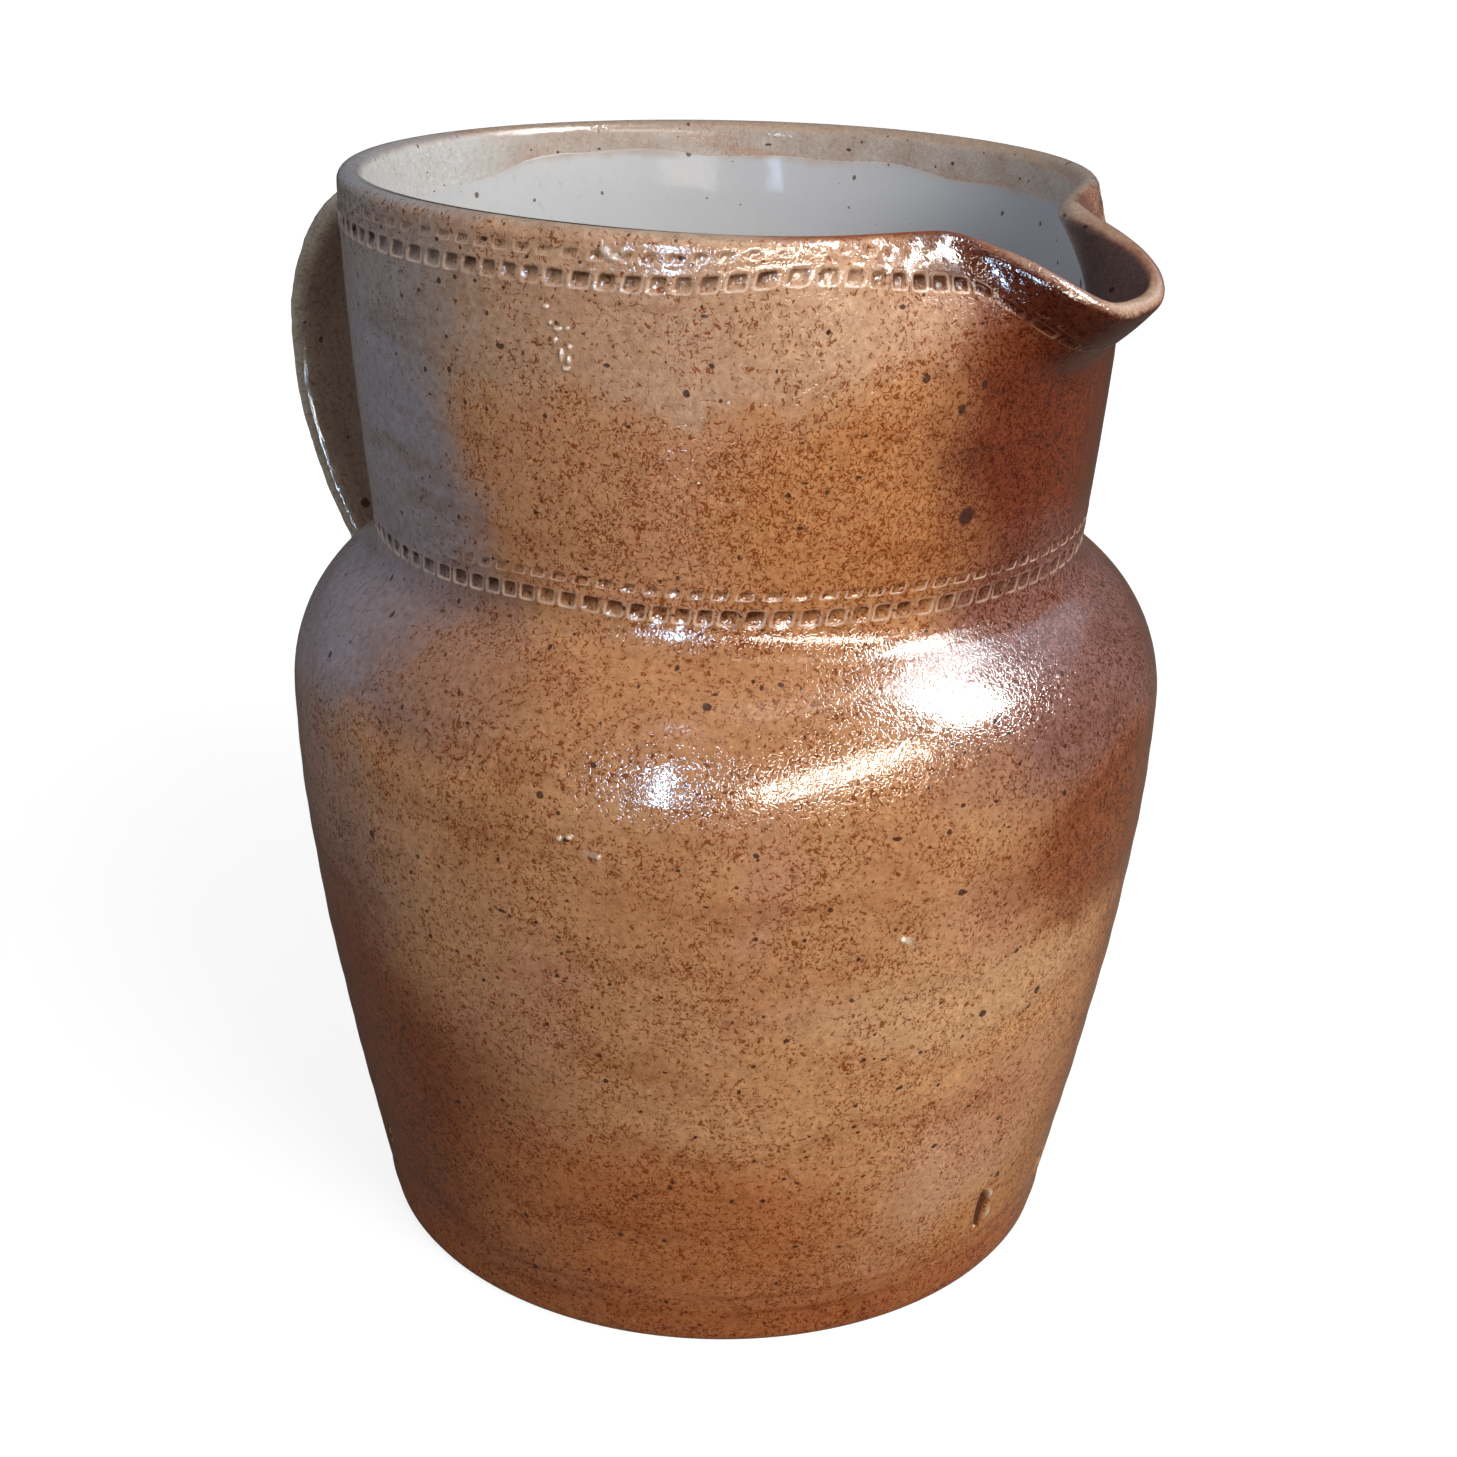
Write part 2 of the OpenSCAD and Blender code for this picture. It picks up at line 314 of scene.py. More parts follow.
# Marks on the clay: rolled squares, throwing rings, nicks and glassy drips
CELLS = 104
SAMPLES_A_CELL = 8
FINE_STEPS = CELLS * SAMPLES_A_CELL
PLAIN_STEPS = FINE_STEPS // 4
ROOT_BAND = 151.3
RIM_BAND = 210.0
SQUARE_TALL = 2.9
SQUARE_HALF = 0.36
SQUARE_DEPTH, SQUARE_EDGE = 0.85, 0.14
BAR_UP = 4.8
BAR_TALL = 1.7
BAR_HALF = 0.30
BAR_DEPTH, BAR_EDGE = 0.45, 0.10
BAR_STEP = 0.35
SLANT = 0.12
CORNER = 6.0
PIT_SOFT = 0.35
EDGE_AT, EDGE_WIDE = 1.08, 0.22
UNEVEN = [(0.22, 5, 0.35), (0.12, 13, 1.31)]
LEAST_PRESS, MOST_PRESS = 0.75, 1.1
PRESS_SEED = 11


def cell_place(angle):
    """The place of an angle in radians among the uneven cells of a rolled row."""
    return (angle / (2 * math.pi) + 0.5) * CELLS + waves(angle, UNEVEN)


def stamp_row(place, up, tall, half):
    """Pits and raised outlines of a rolled row, at a place among its cells and a height."""
    y = up / tall
    leaning = place - SLANT * (y - 0.5)
    x = leaning - np.floor(leaning)
    side = np.abs(x - 0.5) / half
    rise = np.abs(y - 0.5) / 0.5
    slope = 0.3 + 0.7 * np.clip(0.5 * (1 - x) + 0.6 * y, 0, 1)
    reach = (side ** CORNER + rise ** CORNER) ** (1 / CORNER)
    return slope * ease((1 - reach) / PIT_SOFT), bell((reach - EDGE_AT) / EDGE_WIDE)


def rolled_band(a, up, firm, bar_firm):
    """Outward shift of a band of squares with a row of bars above it."""
    presses = np.random.default_rng(PRESS_SEED).uniform(LEAST_PRESS, MOST_PRESS, CELLS)
    place = cell_place(np.radians(a))
    press = presses[np.floor(place).astype(int) % CELLS]
    pit, edge = stamp_row(place, up, SQUARE_TALL, SQUARE_HALF)
    bar, bar_edge = stamp_row(place + BAR_STEP, up - BAR_UP, BAR_TALL, BAR_HALF)
    squares = SQUARE_EDGE * edge - SQUARE_DEPTH * press * pit
    return firm * squares + bar_firm * (BAR_EDGE * bar_edge - BAR_DEPTH * bar)


def nick(a, z, at, half_w, half_h, tilt):
    """A lens-shaped scar: how deep it is, and the beads on its raised right side."""
    y = z - at[1]
    x = np.radians(a - at[0]) * outer_rad(at[1]) - tilt * y - 0.25 * half_w * np.sin(2.4 * y / half_h)
    width = half_w * np.sqrt(np.clip(1 - (y / half_h) ** 2, 0.0001, 1))
    inside = (np.abs(y) < half_h) * ease(2.5 * (1 - np.abs(x) / width))
    right = bell((x - width - 0.45 * half_w) / (0.3 * half_w))
    bead_half = 0.2 * half_h
    beads = np.maximum(bell((y - 0.62 * half_h) / bead_half), bell((y + 0.35 * half_h) / bead_half))
    return inside, right * beads * (1 - inside)


# Scars: angle and height of the middle, half width, half height and tilt
NICKS = [
    ((-9.4, 19.5), 1.9, 5.6, -0.22),
    ((11.0, 17.0), 1.2, 3.0, 0.1),
    ((-119.0, 22.0), 0.9, 2.6, -0.1),
]
SCAR_DEPTH, BURR_HEIGHT = 1.3, 0.5
# Glassy drips: angle, height, half width and half height
DRIPS = [
    (-79.2, 206.2, 0.7, 0.5), (-78.6, 203.6, 0.4, 0.4), (-77.6, 202.6, 0.75, 0.45),
    (-76.3, 202.9, 0.35, 0.35), (-78.0, 200.6, 0.35, 0.6), (-76.0, 199.8, 0.4, 0.45),
    (-77.2, 198.2, 0.4, 1.3), (-76.2, 197.4, 0.35, 0.9), (-76.6, 195.9, 0.8, 0.4),
    (-71.2, 216.4, 0.6, 0.9), (-70.0, 215.5, 1.3, 0.6), (-68.8, 216.5, 0.6, 0.8),
    (-73.6, 115.9, 0.6, 0.5), (-72.4, 116.4, 0.7, 0.4), (-69.0, 113.4, 0.5, 0.6),
    (-33.0, 96.0, 0.6, 0.6), (75.0, 132.0, 0.8, 0.7),
]
DRIP_HEIGHT = 0.45
RING_RISE, SLOW_RISE = 9.0, 31.0
RING_DEPTH = 0.055
WOBBLE = [(0.22, 2, math.radians(40)), (0.14, 3, math.radians(-60))]
# Marks just above the foot: outward shift, height and half height
FOOT_MARKS = [(-0.2, 7.5, 1.3), (0.2, 4.6, 1.8), (-0.08, 11.5, 1.5)]
# Rises and sags of the bands, and where the squares are squashed or filled: amount, angle, half angle
RIM_RISE, RIM_SAG, ROOT_RISE = (2.2, 46, 12), (0.8, 20, 10), (1.1, -82, 16)
SPOUT_SQUASH, FILLED = (1.2, 0, 14), (0.45, -5, 24)


def throwing_rings(a, z):
    """Shallow finger ridges that climb round the wall, and the wheel's slight wobble."""
    ridge = np.sin(2 * math.pi * z / RING_RISE + np.radians(a) + 1.5 * np.sin(z / 23.0))
    slow = np.sin(2 * math.pi * z / SLOW_RISE + 0.6)
    depth = RING_DEPTH * ease((z - 8) / 20) * (1 - 0.85 * ease((z - 106) / 14))
    wobble = waves(np.radians(a), WOBBLE)
    return depth * (ridge + slow) + wobble * ease((z - 4) / 60) * (1 - ease((z - 130) / 60))


def foot_marks(z):
    """Two trimmed lines and a slight roll just above the foot."""
    return sum(swell(z, *mark) for mark in FOOT_MARKS)


def roll_heights(a, z):
    """Height above the nearer band's lower edge, and how firmly its squares and bars were rolled."""
    rim_low = RIM_BAND + swell(np.abs(a), *RIM_RISE) - swell(np.abs(a), *RIM_SAG)
    root_low = ROOT_BAND + swell(a, *ROOT_RISE)
    on_rim = z > (ROOT_BAND + RIM_BAND) / 2
    squashed = 1 + swell(a, *SPOUT_SQUASH)
    up = np.where(on_rim, squashed * (z - rim_low), z - root_low)
    near = plateau(up, -1.5, BAR_UP + BAR_TALL + 1.5, 1)
    smeared = 0.25 + 0.75 * ease((np.abs(a) - 14) / 14)
    filled = 1 - swell(a, *FILLED)
    rim_bars = (0.35 + 0.45 * plateau(a, -108, -40, 24)) * smeared
    root_bars = 0.12 + 0.8 * ease((a + 108) / 24)
    return up, near * np.where(on_rim, smeared, filled), near * np.where(on_rim, rim_bars, root_bars)


def outside_relief(a, z):
    """Outward shift of the outer skin, with the scars and the pale beads, which are painted as pale glass
    with a painted glint.
    """
    shift = throwing_rings(a, z) + foot_marks(z) + rolled_band(a, *roll_heights(a, z))
    scar, burrs = np.zeros_like(z), np.zeros_like(z)
    for at, half_w, half_h, tilt in NICKS:
        inside, burr = nick(a, z, at, half_w, half_h, tilt)
        shift += BURR_HEIGHT * burr - SCAR_DEPTH * inside
        scar = np.maximum(scar, ease(2.2 * inside))
        burrs = np.maximum(burrs, burr)
    drip = np.zeros_like(z)
    for drip_a, drip_z, half_w, half_h in DRIPS:
        x = np.radians(a - drip_a) * outer_rad(drip_z)
        away = np.sqrt((x / half_w) ** 2 + ((z - drip_z) / half_h) ** 2)
        drip = np.maximum(drip, np.sqrt(np.clip(1 - away ** 2, 0, 1)))
    return shift + DRIP_HEIGHT * drip, scar, np.maximum(burrs, 0.9 * drip)


# The thrown body, bare inside down to a height that the poured coat covers
BARE_LOW = 188.0
UNDER_GLAZE = 0.15
UNDERSIDE = [[0, 0.8], [25, 0.8], [50, 0.7], [64, 0.4], [67, 0]]
FINE_ROW, ROW_GAP = 0.4, 1.2
ROOT_TOP = ROOT_BAND + 8.6
RIM_START = RIM_BAND - 2
# Heights between which the open edges of neighbouring stretches lie
SEAMS = [(140, 150), (ROOT_TOP - 1, ROOT_TOP + 2), (RIM_START - 2, RIM_START + 1), (170, BARE_LOW + 5)]
NICK_MARGIN, NICK_CUTS = 4, 5
DRIP_MARGIN, DRIP_CUTS = 1.2, 8
SKIN_NEAR = 0.3


def refine(bm, marks, cuts):
    """Splits the faces of the outer skin near marks, each an angle, a height and a reach."""
    centres = np.array([f.calc_center_median() for f in bm.faces]) / MM
    near = np.zeros(len(centres), bool)
    for a, z, reach in marks:
        t = math.radians(a)
        r = outer_rad(z)
        near |= np.linalg.norm(centres - [r * math.cos(t), r * math.sin(t), z], axis=1) < reach
    edges = list({e for f, close in zip(bm.faces, near) if close for e in f.edges})
    bmesh.ops.subdivide_edges(bm, edges=edges, cuts=cuts, use_grid_fill=True)


def thrown_body():
    foot_edge = arc(np.array([FOOT_RAD - FOOT_ROUND, FOOT_ROUND]), FOOT_ROUND, -math.pi / 2, 0, 4)
    low = np.concatenate([
        UNDERSIDE,
        foot_edge[:-1],
        wall_curve(44)[:-1],
        shoulder_curve(16)[:-1],
    ])
    root = np.concatenate([root_curve(9)[:-1], neck_line(np.arange(NECK_LOW[1], ROOT_TOP, FINE_ROW))])
    neck = neck_line(np.linspace(ROOT_TOP + ROW_GAP, RIM_START - ROW_GAP, 20))
    lip = arc(np.array([RIM_RAD - LIP_RAD, LIP_BASE]), LIP_RAD, 0, math.pi, 12)
    inner = neck_line(np.linspace(LIP_BASE - 2, BARE_LOW, 8)) - [WALL, 0]
    rim = np.concatenate([neck_line(np.arange(RIM_START, LIP_BASE, FINE_ROW)), lip, inner])
    hidden = inside_outline(-UNDER_GLAZE, 1, [165, 176])[::-1]
    bm = bmesh.new()
    turn_outline(bm, low, PLAIN_STEPS)
    turn_outline(bm, root, FINE_STEPS)
    turn_outline(bm, neck, PLAIN_STEPS)
    turn_outline(bm, rim, FINE_STEPS)
    turn_outline(bm, hidden, PLAIN_STEPS)
    for seam in SEAMS:
        bmesh.ops.bridge_loops(bm, edges=open_loop(bm, *seam))
    refine(bm, [(*at, half_h + NICK_MARGIN) for at, half_w, half_h, tilt in NICKS], NICK_CUTS)
    low_drips = [(a, z, half_h + DRIP_MARGIN) for a, z, half_w, half_h in DRIPS if z < RIM_START - 1]
    refine(bm, low_drips, DRIP_CUTS)
    piece = finish_mesh(bm, "pot_body")
    p = points_of(piece.data)
    a = np.degrees(np.arctan2(p[:, 1], p[:, 0]))
    r = np.hypot(p[:, 0], p[:, 1])
    z = p[:, 2].copy()
    thrown_z = np.minimum(z, LIP_BASE)
    off = r - (outer_rad(thrown_z) - WALL / 2)
    skin = (np.abs(off - WALL / 2) < SKIN_NEAR) & (z > FOOT_ROUND) & (z <= LIP_BASE + 0.001)
    shift, scar, beads = outside_relief(a, z)
    new_r = np.where(skin, outer_rad(z) + shift, r)
    p[:, :2] *= (new_r / np.maximum(r, 0.001))[:, None]
    # 0 on the outside, 1 on the inside and between them over the lip
    lip_turn = np.arctan2(np.maximum(z - LIP_BASE, 0), off) / math.pi
    lip_turn = np.where(z < 140, (off < 0) * 1.0, lip_turn)
    p = bend(p)
    move_points(piece.data, p)
    up, firm, bar_firm = roll_heights(a, z)
    t = np.radians(a)
    set_attribute(piece.data, "rolled", np.stack([np.cos(t), np.sin(t), up], 1))
    marks = {"roll_firm": firm, "bar_firm": bar_firm, "scar": scar, "pale_bead": beads}
    for name, values in marks.items():
        set_attribute(piece.data, name, np.where(skin, values, 0))
    set_attribute(piece.data, "lip_turn", np.clip(lip_turn, 0, 1))
    return piece


# The poured coat inside, which thins out towards its upper edge
GLAZE_FADE = 12.0
EDGE_WAVES = [(0.7, 3, 0.4), (0.5, 7, 2.0), (0.3, 16, 0.0)]
SPOUT_CUT = (15, 0, 26)
BACK_LIFT, BACK_AT = 2.8, math.radians(112)
FOLLOW_FROM = 160


def liner_glaze():
    fade = np.linspace(0, 1, 9)[1:]
    fade_low = GLAZE_TOP - GLAZE_FADE
    edge = neck_line(fade_low + GLAZE_FADE * fade)
    edge[:, 0] -= WALL + GLAZE_T * (1 - ease(fade)) - UNDER_GLAZE * fade ** 4
    front = np.concatenate([inside_outline(GLAZE_T, 4, np.linspace(NECK_LOW[1] + 4, fade_low, 12)), edge])
    back = inside_outline(-2 * UNDER_GLAZE, 2, np.linspace(NECK_LOW[1] + 6, GLAZE_TOP - 2, 6))[::-1]
    bm = bmesh.new()
    turn_outline(bm, np.concatenate([front, back]), PLAIN_STEPS)
    piece = finish_mesh(bm, "liner_coat")
    p = points_of(piece.data)
    a = np.degrees(np.arctan2(p[:, 1], p[:, 0]))
    t = np.radians(a)
    spout_cut = swell(a, *SPOUT_CUT) * ease(1.2 - np.abs(a) / 60)
    back_lift = BACK_LIFT * ease((np.cos(t - BACK_AT) - 0.15) / 0.6)
    follow = ease((p[:, 2] - FOLLOW_FROM) / (GLAZE_TOP - FOLLOW_FROM))
    edge_shift = waves(t, EDGE_WAVES) - spout_cut + back_lift
    p[:, 2] += follow * edge_shift
    set_attribute(piece.data, "below_edge", (GLAZE_TOP + edge_shift - p[:, 2]) * MM)
    move_points(piece.data, bend(p))
    return piece


# The strap handle and its worked-in joints
HANDLE_MID_T = (HANDLE_TOP_T + HANDLE_LOW_T) / 2
APEX = np.array([-(neck_rad(HANDLE_APEX_Z) + FINGER_GAP + HANDLE_MID_T / 2), HANDLE_APEX_Z])
TOP_END = np.array([-(neck_rad(HANDLE_TOP_Z) - WALL / 2), HANDLE_TOP_Z])
LOW_END = np.array([-(outer_rad(HANDLE_LOW_Z) - WALL - LIP_RAD / 2), HANDLE_LOW_Z])
TILT = math.radians(HANDLE_TOP_TILT)
LEAN = math.radians(HANDLE_LOW_LEAN)
OUT = TOP_END[0] - APEX[0]
FALL = HANDLE_APEX_Z - HANDLE_LOW_Z
OVER = [TOP_END, TOP_END + TOP_PULL * OUT * np.array([-math.cos(TILT), math.sin(TILT)]),
        APEX + np.array([0, APEX_PULL * (HANDLE_TOP_Z - HANDLE_APEX_Z)]), APEX]
DOWN = [APEX, APEX - np.array([0, LOW_PULL * FALL]),
        LOW_END + LOW_PULL * FALL * np.array([-math.sin(LEAN), math.cos(LEAN)]), LOW_END]
LINE_STEPS = 100
STRAP_LINE = np.concatenate([cubic(OVER, LINE_STEPS)[:-1], cubic(DOWN, LINE_STEPS)])
STRAP_DIR = unit(np.gradient(STRAP_LINE, axis=0))
STRAP_SIDES, STRAP_RINGS = 60, 97
ROUNDNESS = 2.6
# Across the strap: depth and narrowness of the furrow, and depth and count of the finger ripples
OUTER_FURROW, INNER_FURROW = (GROOVE_DEPTH, 3, 0.12, 19), (0.55, 1.9, 0.06, 16)
# Along the strap: how its width sways, and how uneven the hand left it
WIDTH_SWAY = [(0.006, 0.35, 0), (0.004, 0.93, 1)]
HAND_GRAIN, HAND_SEED = 0.03, 5
STRAP_SEAT, JOINT_SEAT = 2.2, 2.0
# Worked-in clay: its flare at the wall, its lumps as size, count and twist, and its wiped edge
JOINT_STEPS = 26
FLARE, FLARE_POWER, FULL_SHARE = 4.0, 2.3, 0.2
LUMPS = [(0.16, 3, 3), (0.10, 7, -4)]
EDGE_T, TUCK, TUCK_FROM = 0.12, 0.5, 0.86
CORE_INSET = 1.5


def furrow(across, depth, narrow, ripple, count):
    return depth * bell(across * narrow) + ripple * np.cos(count * across)


def strap_ring(s, grow):
    """One outline across the strap at s from 0 at the neck to 2 at the shoulder."""
    at = s * LINE_STEPS
    marks = np.arange(len(STRAP_LINE))
    c = np.array([np.interp(at, marks, STRAP_LINE[:, k]) for k in (0, 1)])
    d = unit(np.array([np.interp(at, marks, STRAP_DIR[:, k]) for k in (0, 1)]))
    n = np.array([d[1], -d[0]])
    w = (HANDLE_TOP_W + (HANDLE_LOW_W - HANDLE_TOP_W) * s / 2) / 2 + grow
    t = (HANDLE_TOP_T + (HANDLE_LOW_T - HANDLE_TOP_T) * s / 2) / 2 + grow
    b = 2 * math.pi * np.arange(STRAP_SIDES) / STRAP_SIDES
    squash = 2 / ROUNDNESS
    p = w * np.sign(np.cos(b)) * np.abs(np.cos(b)) ** squash
    q = -t * np.sign(np.sin(b)) * np.abs(np.sin(b)) ** squash
    outer_side = np.sin(b) < 0
    across = p / w
    groove = furrow(across, *OUTER_FURROW)
    hollow = furrow(across, *INNER_FURROW)
    q = q - np.where(outer_side, groove, 0) + np.where(outer_side, 0, hollow) * (np.abs(np.sin(b)) > 0.01)
    return np.stack([c[0] + q * n[0], p, c[1] + q * n[1]], 1)


def inner_face(p):
    """1 on the face towards the fingers, 0 on the outer face."""
    side_view = p[:, [0, 2]]
    near = 4 * np.argmin(((side_view[:, None] - STRAP_LINE[None, ::4]) ** 2).sum(2), 1)
    off = side_view - STRAP_LINE[near]
    d = STRAP_DIR[near]
    inward = off[:, 1] * d[:, 0] - off[:, 0] * d[:, 1]
    return ease(inward / 1.4 - 1.3)


def seated(bm, name, depth):
    """A finished piece of the handle that reaches into the body no deeper than depth."""
    piece = finish_mesh(bm, name)
    p = points_of(piece.data)
    set_attribute(piece.data, "inner_face", inner_face(p))
    r = np.hypot(p[:, 0], p[:, 1])
    kept_r = np.maximum(r, outer_rad(p[:, 2]) - depth)
    p[:, :2] *= (kept_r / np.maximum(r, 0.001))[:, None]
    move_points(piece.data, p)
    return piece


def strap_handle():
    rings = [strap_ring(s, 0) for s in np.linspace(0, 2, STRAP_RINGS)]
    uneven = np.random.default_rng(HAND_SEED)
    for i, ring in enumerate(rings):
        ring[:, 1] *= 1 + waves(i, WIDTH_SWAY)
        ring += HAND_GRAIN * uneven.standard_normal(ring.shape)
    bm = bmesh.new()
    wrap_grid(bm, rings)
    bmesh.ops.holes_fill(bm, edges=[e for e in bm.edges if e.is_boundary], sides=0)
    return seated(bm, "strap", STRAP_SEAT)


def joint_clay(name, start, end, seed):
    """Soft clay worked in round one end of the strap, from inside the wall to a wiped edge."""
    turns = np.arange(STRAP_SIDES) * 2 * math.pi / STRAP_SIDES
    phases = np.random.default_rng(seed).uniform(0, 6.28, len(LUMPS))
    rings = []
    for i in range(JOINT_STEPS + 1):
        x = i / JOINT_STEPS
        flare = FLARE * max(0.0, 1 - max(0.0, x - FULL_SHARE) / (1 - FULL_SHARE)) ** FLARE_POWER
        twisted = [(size, count, phase + twist * x) for (size, count, twist), phase in zip(LUMPS, phases)]
        tuck = TUCK * max(0.0, x - TUCK_FROM) / (1 - TUCK_FROM)
        grow = flare * (1 + waves(turns, twisted)) + EDGE_T - tuck
        s = start + (end - start) * x
        plain = strap_ring(s, 0)
        rings.append(plain + (strap_ring(s, 1) - plain) * grow[:, None])
    core = [strap_ring(end, -CORE_INSET), strap_ring(start, -CORE_INSET)]
    bm = bmesh.new()
    wrap_grid(bm, rings + core + rings[:1])
    return seated(bm, name, JOINT_SEAT)


# Paint: a short way to lay down shader nodes
def srgb(r, g, b):
    """A colour as seen on screen, 0 to 255, in the linear values that Blender takes."""
    def linear(c):
        c /= 255
        return c / 12.92 if c <= 0.04045 else ((c + 0.055) / 1.055) ** 2.4
    return (linear(r), linear(g), linear(b), 1.0)


class Paint:
    """Shader nodes of a material or world. The flat chart is true to size at chart_rad millimetres."""
    chart_rad = 80.0

    def __init__(self, owner):
        owner.use_nodes = True
        self.owner = owner
        self.tree = owner.node_tree
        self.tree.nodes.clear()

    def node(self, kind, inputs=(), **settings):
        made = self.tree.nodes.new(kind)
        for key, value in settings.items():
            setattr(made, key, value)
        for key, value in dict(inputs).items():
            if isinstance(value, bpy.types.NodeSocket):
                self.tree.links.new(value, made.inputs[key])
            else:
                made.inputs[key].default_value = value
        return made

    def place(self):
        return self.node("ShaderNodeTexCoord").outputs["Object"]

    def axes(self, vector):
        return self.node("ShaderNodeSeparateXYZ", {0: vector}).outputs

    def attribute(self, name, output="Fac"):
        return self.node("ShaderNodeAttribute", attribute_name=name).outputs[output]

    def stretched(self, vector, scale):
        return self.node("ShaderNodeMapping", {"Vector": vector, "Scale": scale}).outputs["Vector"]

    def noise(self, vector, size, detail=2.0, rough=0.5, twist=0.0, colour=False):
        """Cloudy noise with blobs of about that size in millimetres."""
        made = self.node("ShaderNodeTexNoise", {
            "Vector": vector, "Scale": 1 / (size * MM), "Detail": detail,
            "Roughness": rough, "Distortion": twist,
        })
        return made.outputs["Color" if colour else "Fac"]

    def math(self, operation, a, b=0.0, clamp=False):
        return self.node("ShaderNodeMath", {0: a, 1: b}, operation=operation, use_clamp=clamp).outputs[0]

    def times(self, a, b):
        return self.math("MULTIPLY", a, b)

    def plus(self, a, b):
        return self.math("ADD", a, b)

    def minus(self, a, b):
        return self.math("SUBTRACT", a, b)

    def apart(self, a, b):
        return self.math("ABSOLUTE", self.minus(a, b))

    def most(self, a, b):
        return self.math("MAXIMUM", a, b)

    def vector_math(self, operation, a, b):
        return self.node("ShaderNodeVectorMath", {0: a, 1: b}, operation=operation).outputs

    def length(self, vector):
        return self.node("ShaderNodeVectorMath", {0: vector}, operation="LENGTH").outputs["Value"]

    def span(self, value, low, high, to_low=0.0, to_high=1.0):
        """A smooth step as value goes from low to high."""
        made = self.node("ShaderNodeMapRange", {
            "Value": value, "From Min": low, "From Max": high, "To Min": to_low, "To Max": to_high,
        }, interpolation_type="SMOOTHSTEP")
        return made.outputs["Result"]

    def mix(self, share, a, b, blend="MIX"):
        made = self.node("ShaderNodeMix", {0: share, 6: a, 7: b}, data_type="RGBA", blend_type=blend)
        return made.outputs[2]

    def tint(self, share, colour, factor):
        """The colour multiplied by a factor, by some share."""
        return self.mix(share, colour, (*factor, 1.0), "MULTIPLY")

    def warped(self, vector, size, reach):
        """The vector pushed about by cloudy noise, by up to reach in millimetres."""
        cloud = self.noise(vector, size, 2.0, 0.5, 0.0, True)
        centred = self.vector_math("SUBTRACT", cloud, (0.5, 0.5, 0.5))[0]
        far = 2 * reach * MM
        push = self.vector_math("MULTIPLY", centred, (far, far, far))[0]
        return self.vector_math("ADD", vector, push)[0]

    def chart(self, vector):
        """Distance round the pot and height, in metres, as a flat map."""
        axes = self.axes(vector)
        angle = self.math("ARCTAN2", axes[1], axes[0])
        round_way = self.times(angle, self.chart_rad * MM)
        return self.node("ShaderNodeCombineXYZ", {0: round_way, 1: axes[2]}).outputs[0]

    def patch(self, chart, a, z, half_w, half_h, soft=0.4):
        """A soft oval on the chart, 1 in the middle and 0 outside."""
        centre = (math.radians(a) * self.chart_rad * MM, z * MM, 0)
        shifted = self.vector_math("SUBTRACT", chart, centre)[0]
        sized = self.vector_math("MULTIPLY", shifted, (1 / (half_w * MM), 1 / (half_h * MM), 0))[0]
        return self.span(self.length(sized), 1 + soft, 1 - soft)

    def specks(self, chart, spacing, least, most, keep, flat=True):
        """Share 1 inside scattered specks, most of them small, with radii in millimetres."""
        made = self.node("ShaderNodeTexVoronoi", {"Vector": chart, "Scale": 1 / (spacing * MM)},
                         voronoi_dimensions="2D" if flat else "3D")
        pick = self.node("ShaderNodeSeparateColor", {0: made.outputs["Color"]}).outputs
        chosen = self.math("LESS_THAN", pick[0], keep)
        skewed = self.math("POWER", pick[1], 2.5)
        radius = self.plus(self.times(skewed, (most - least) / spacing), least / spacing)
        inside = self.minus(radius, made.outputs["Distance"])
        return self.times(self.span(inside, 0.0, 0.15 / spacing), chosen)

    def bump(self, height, distance, strength, normal=None):
        inputs = {"Height": height, "Distance": distance * MM, "Strength": strength}
        if normal is not None:
            inputs["Normal"] = normal
        return self.node("ShaderNodeBump", inputs).outputs["Normal"]

    def glaze(self, colour, roughness, normal, coat, coat_roughness):
        """Clay under a clear coat, which gives all of the gloss."""
        shader = self.node("ShaderNodeBsdfPrincipled", {
            "Base Color": colour, "Roughness": roughness, "Specular IOR Level": 0.0, "Normal": normal,
            "Coat Weight": coat, "Coat Roughness": coat_roughness, "Coat Normal": normal,
        })
        self.node("ShaderNodeOutputMaterial", {"Surface": shader.outputs[0]})
        return self.owner

    def by_camera(self, seen, other):
        """One shader for what the camera sees, and another for all else."""
        by_eye = self.node("ShaderNodeLightPath").outputs["Is Camera Ray"]
        return self.node("ShaderNodeMixShader", {0: by_eye, 1: other, 2: seen}).outputs[0]


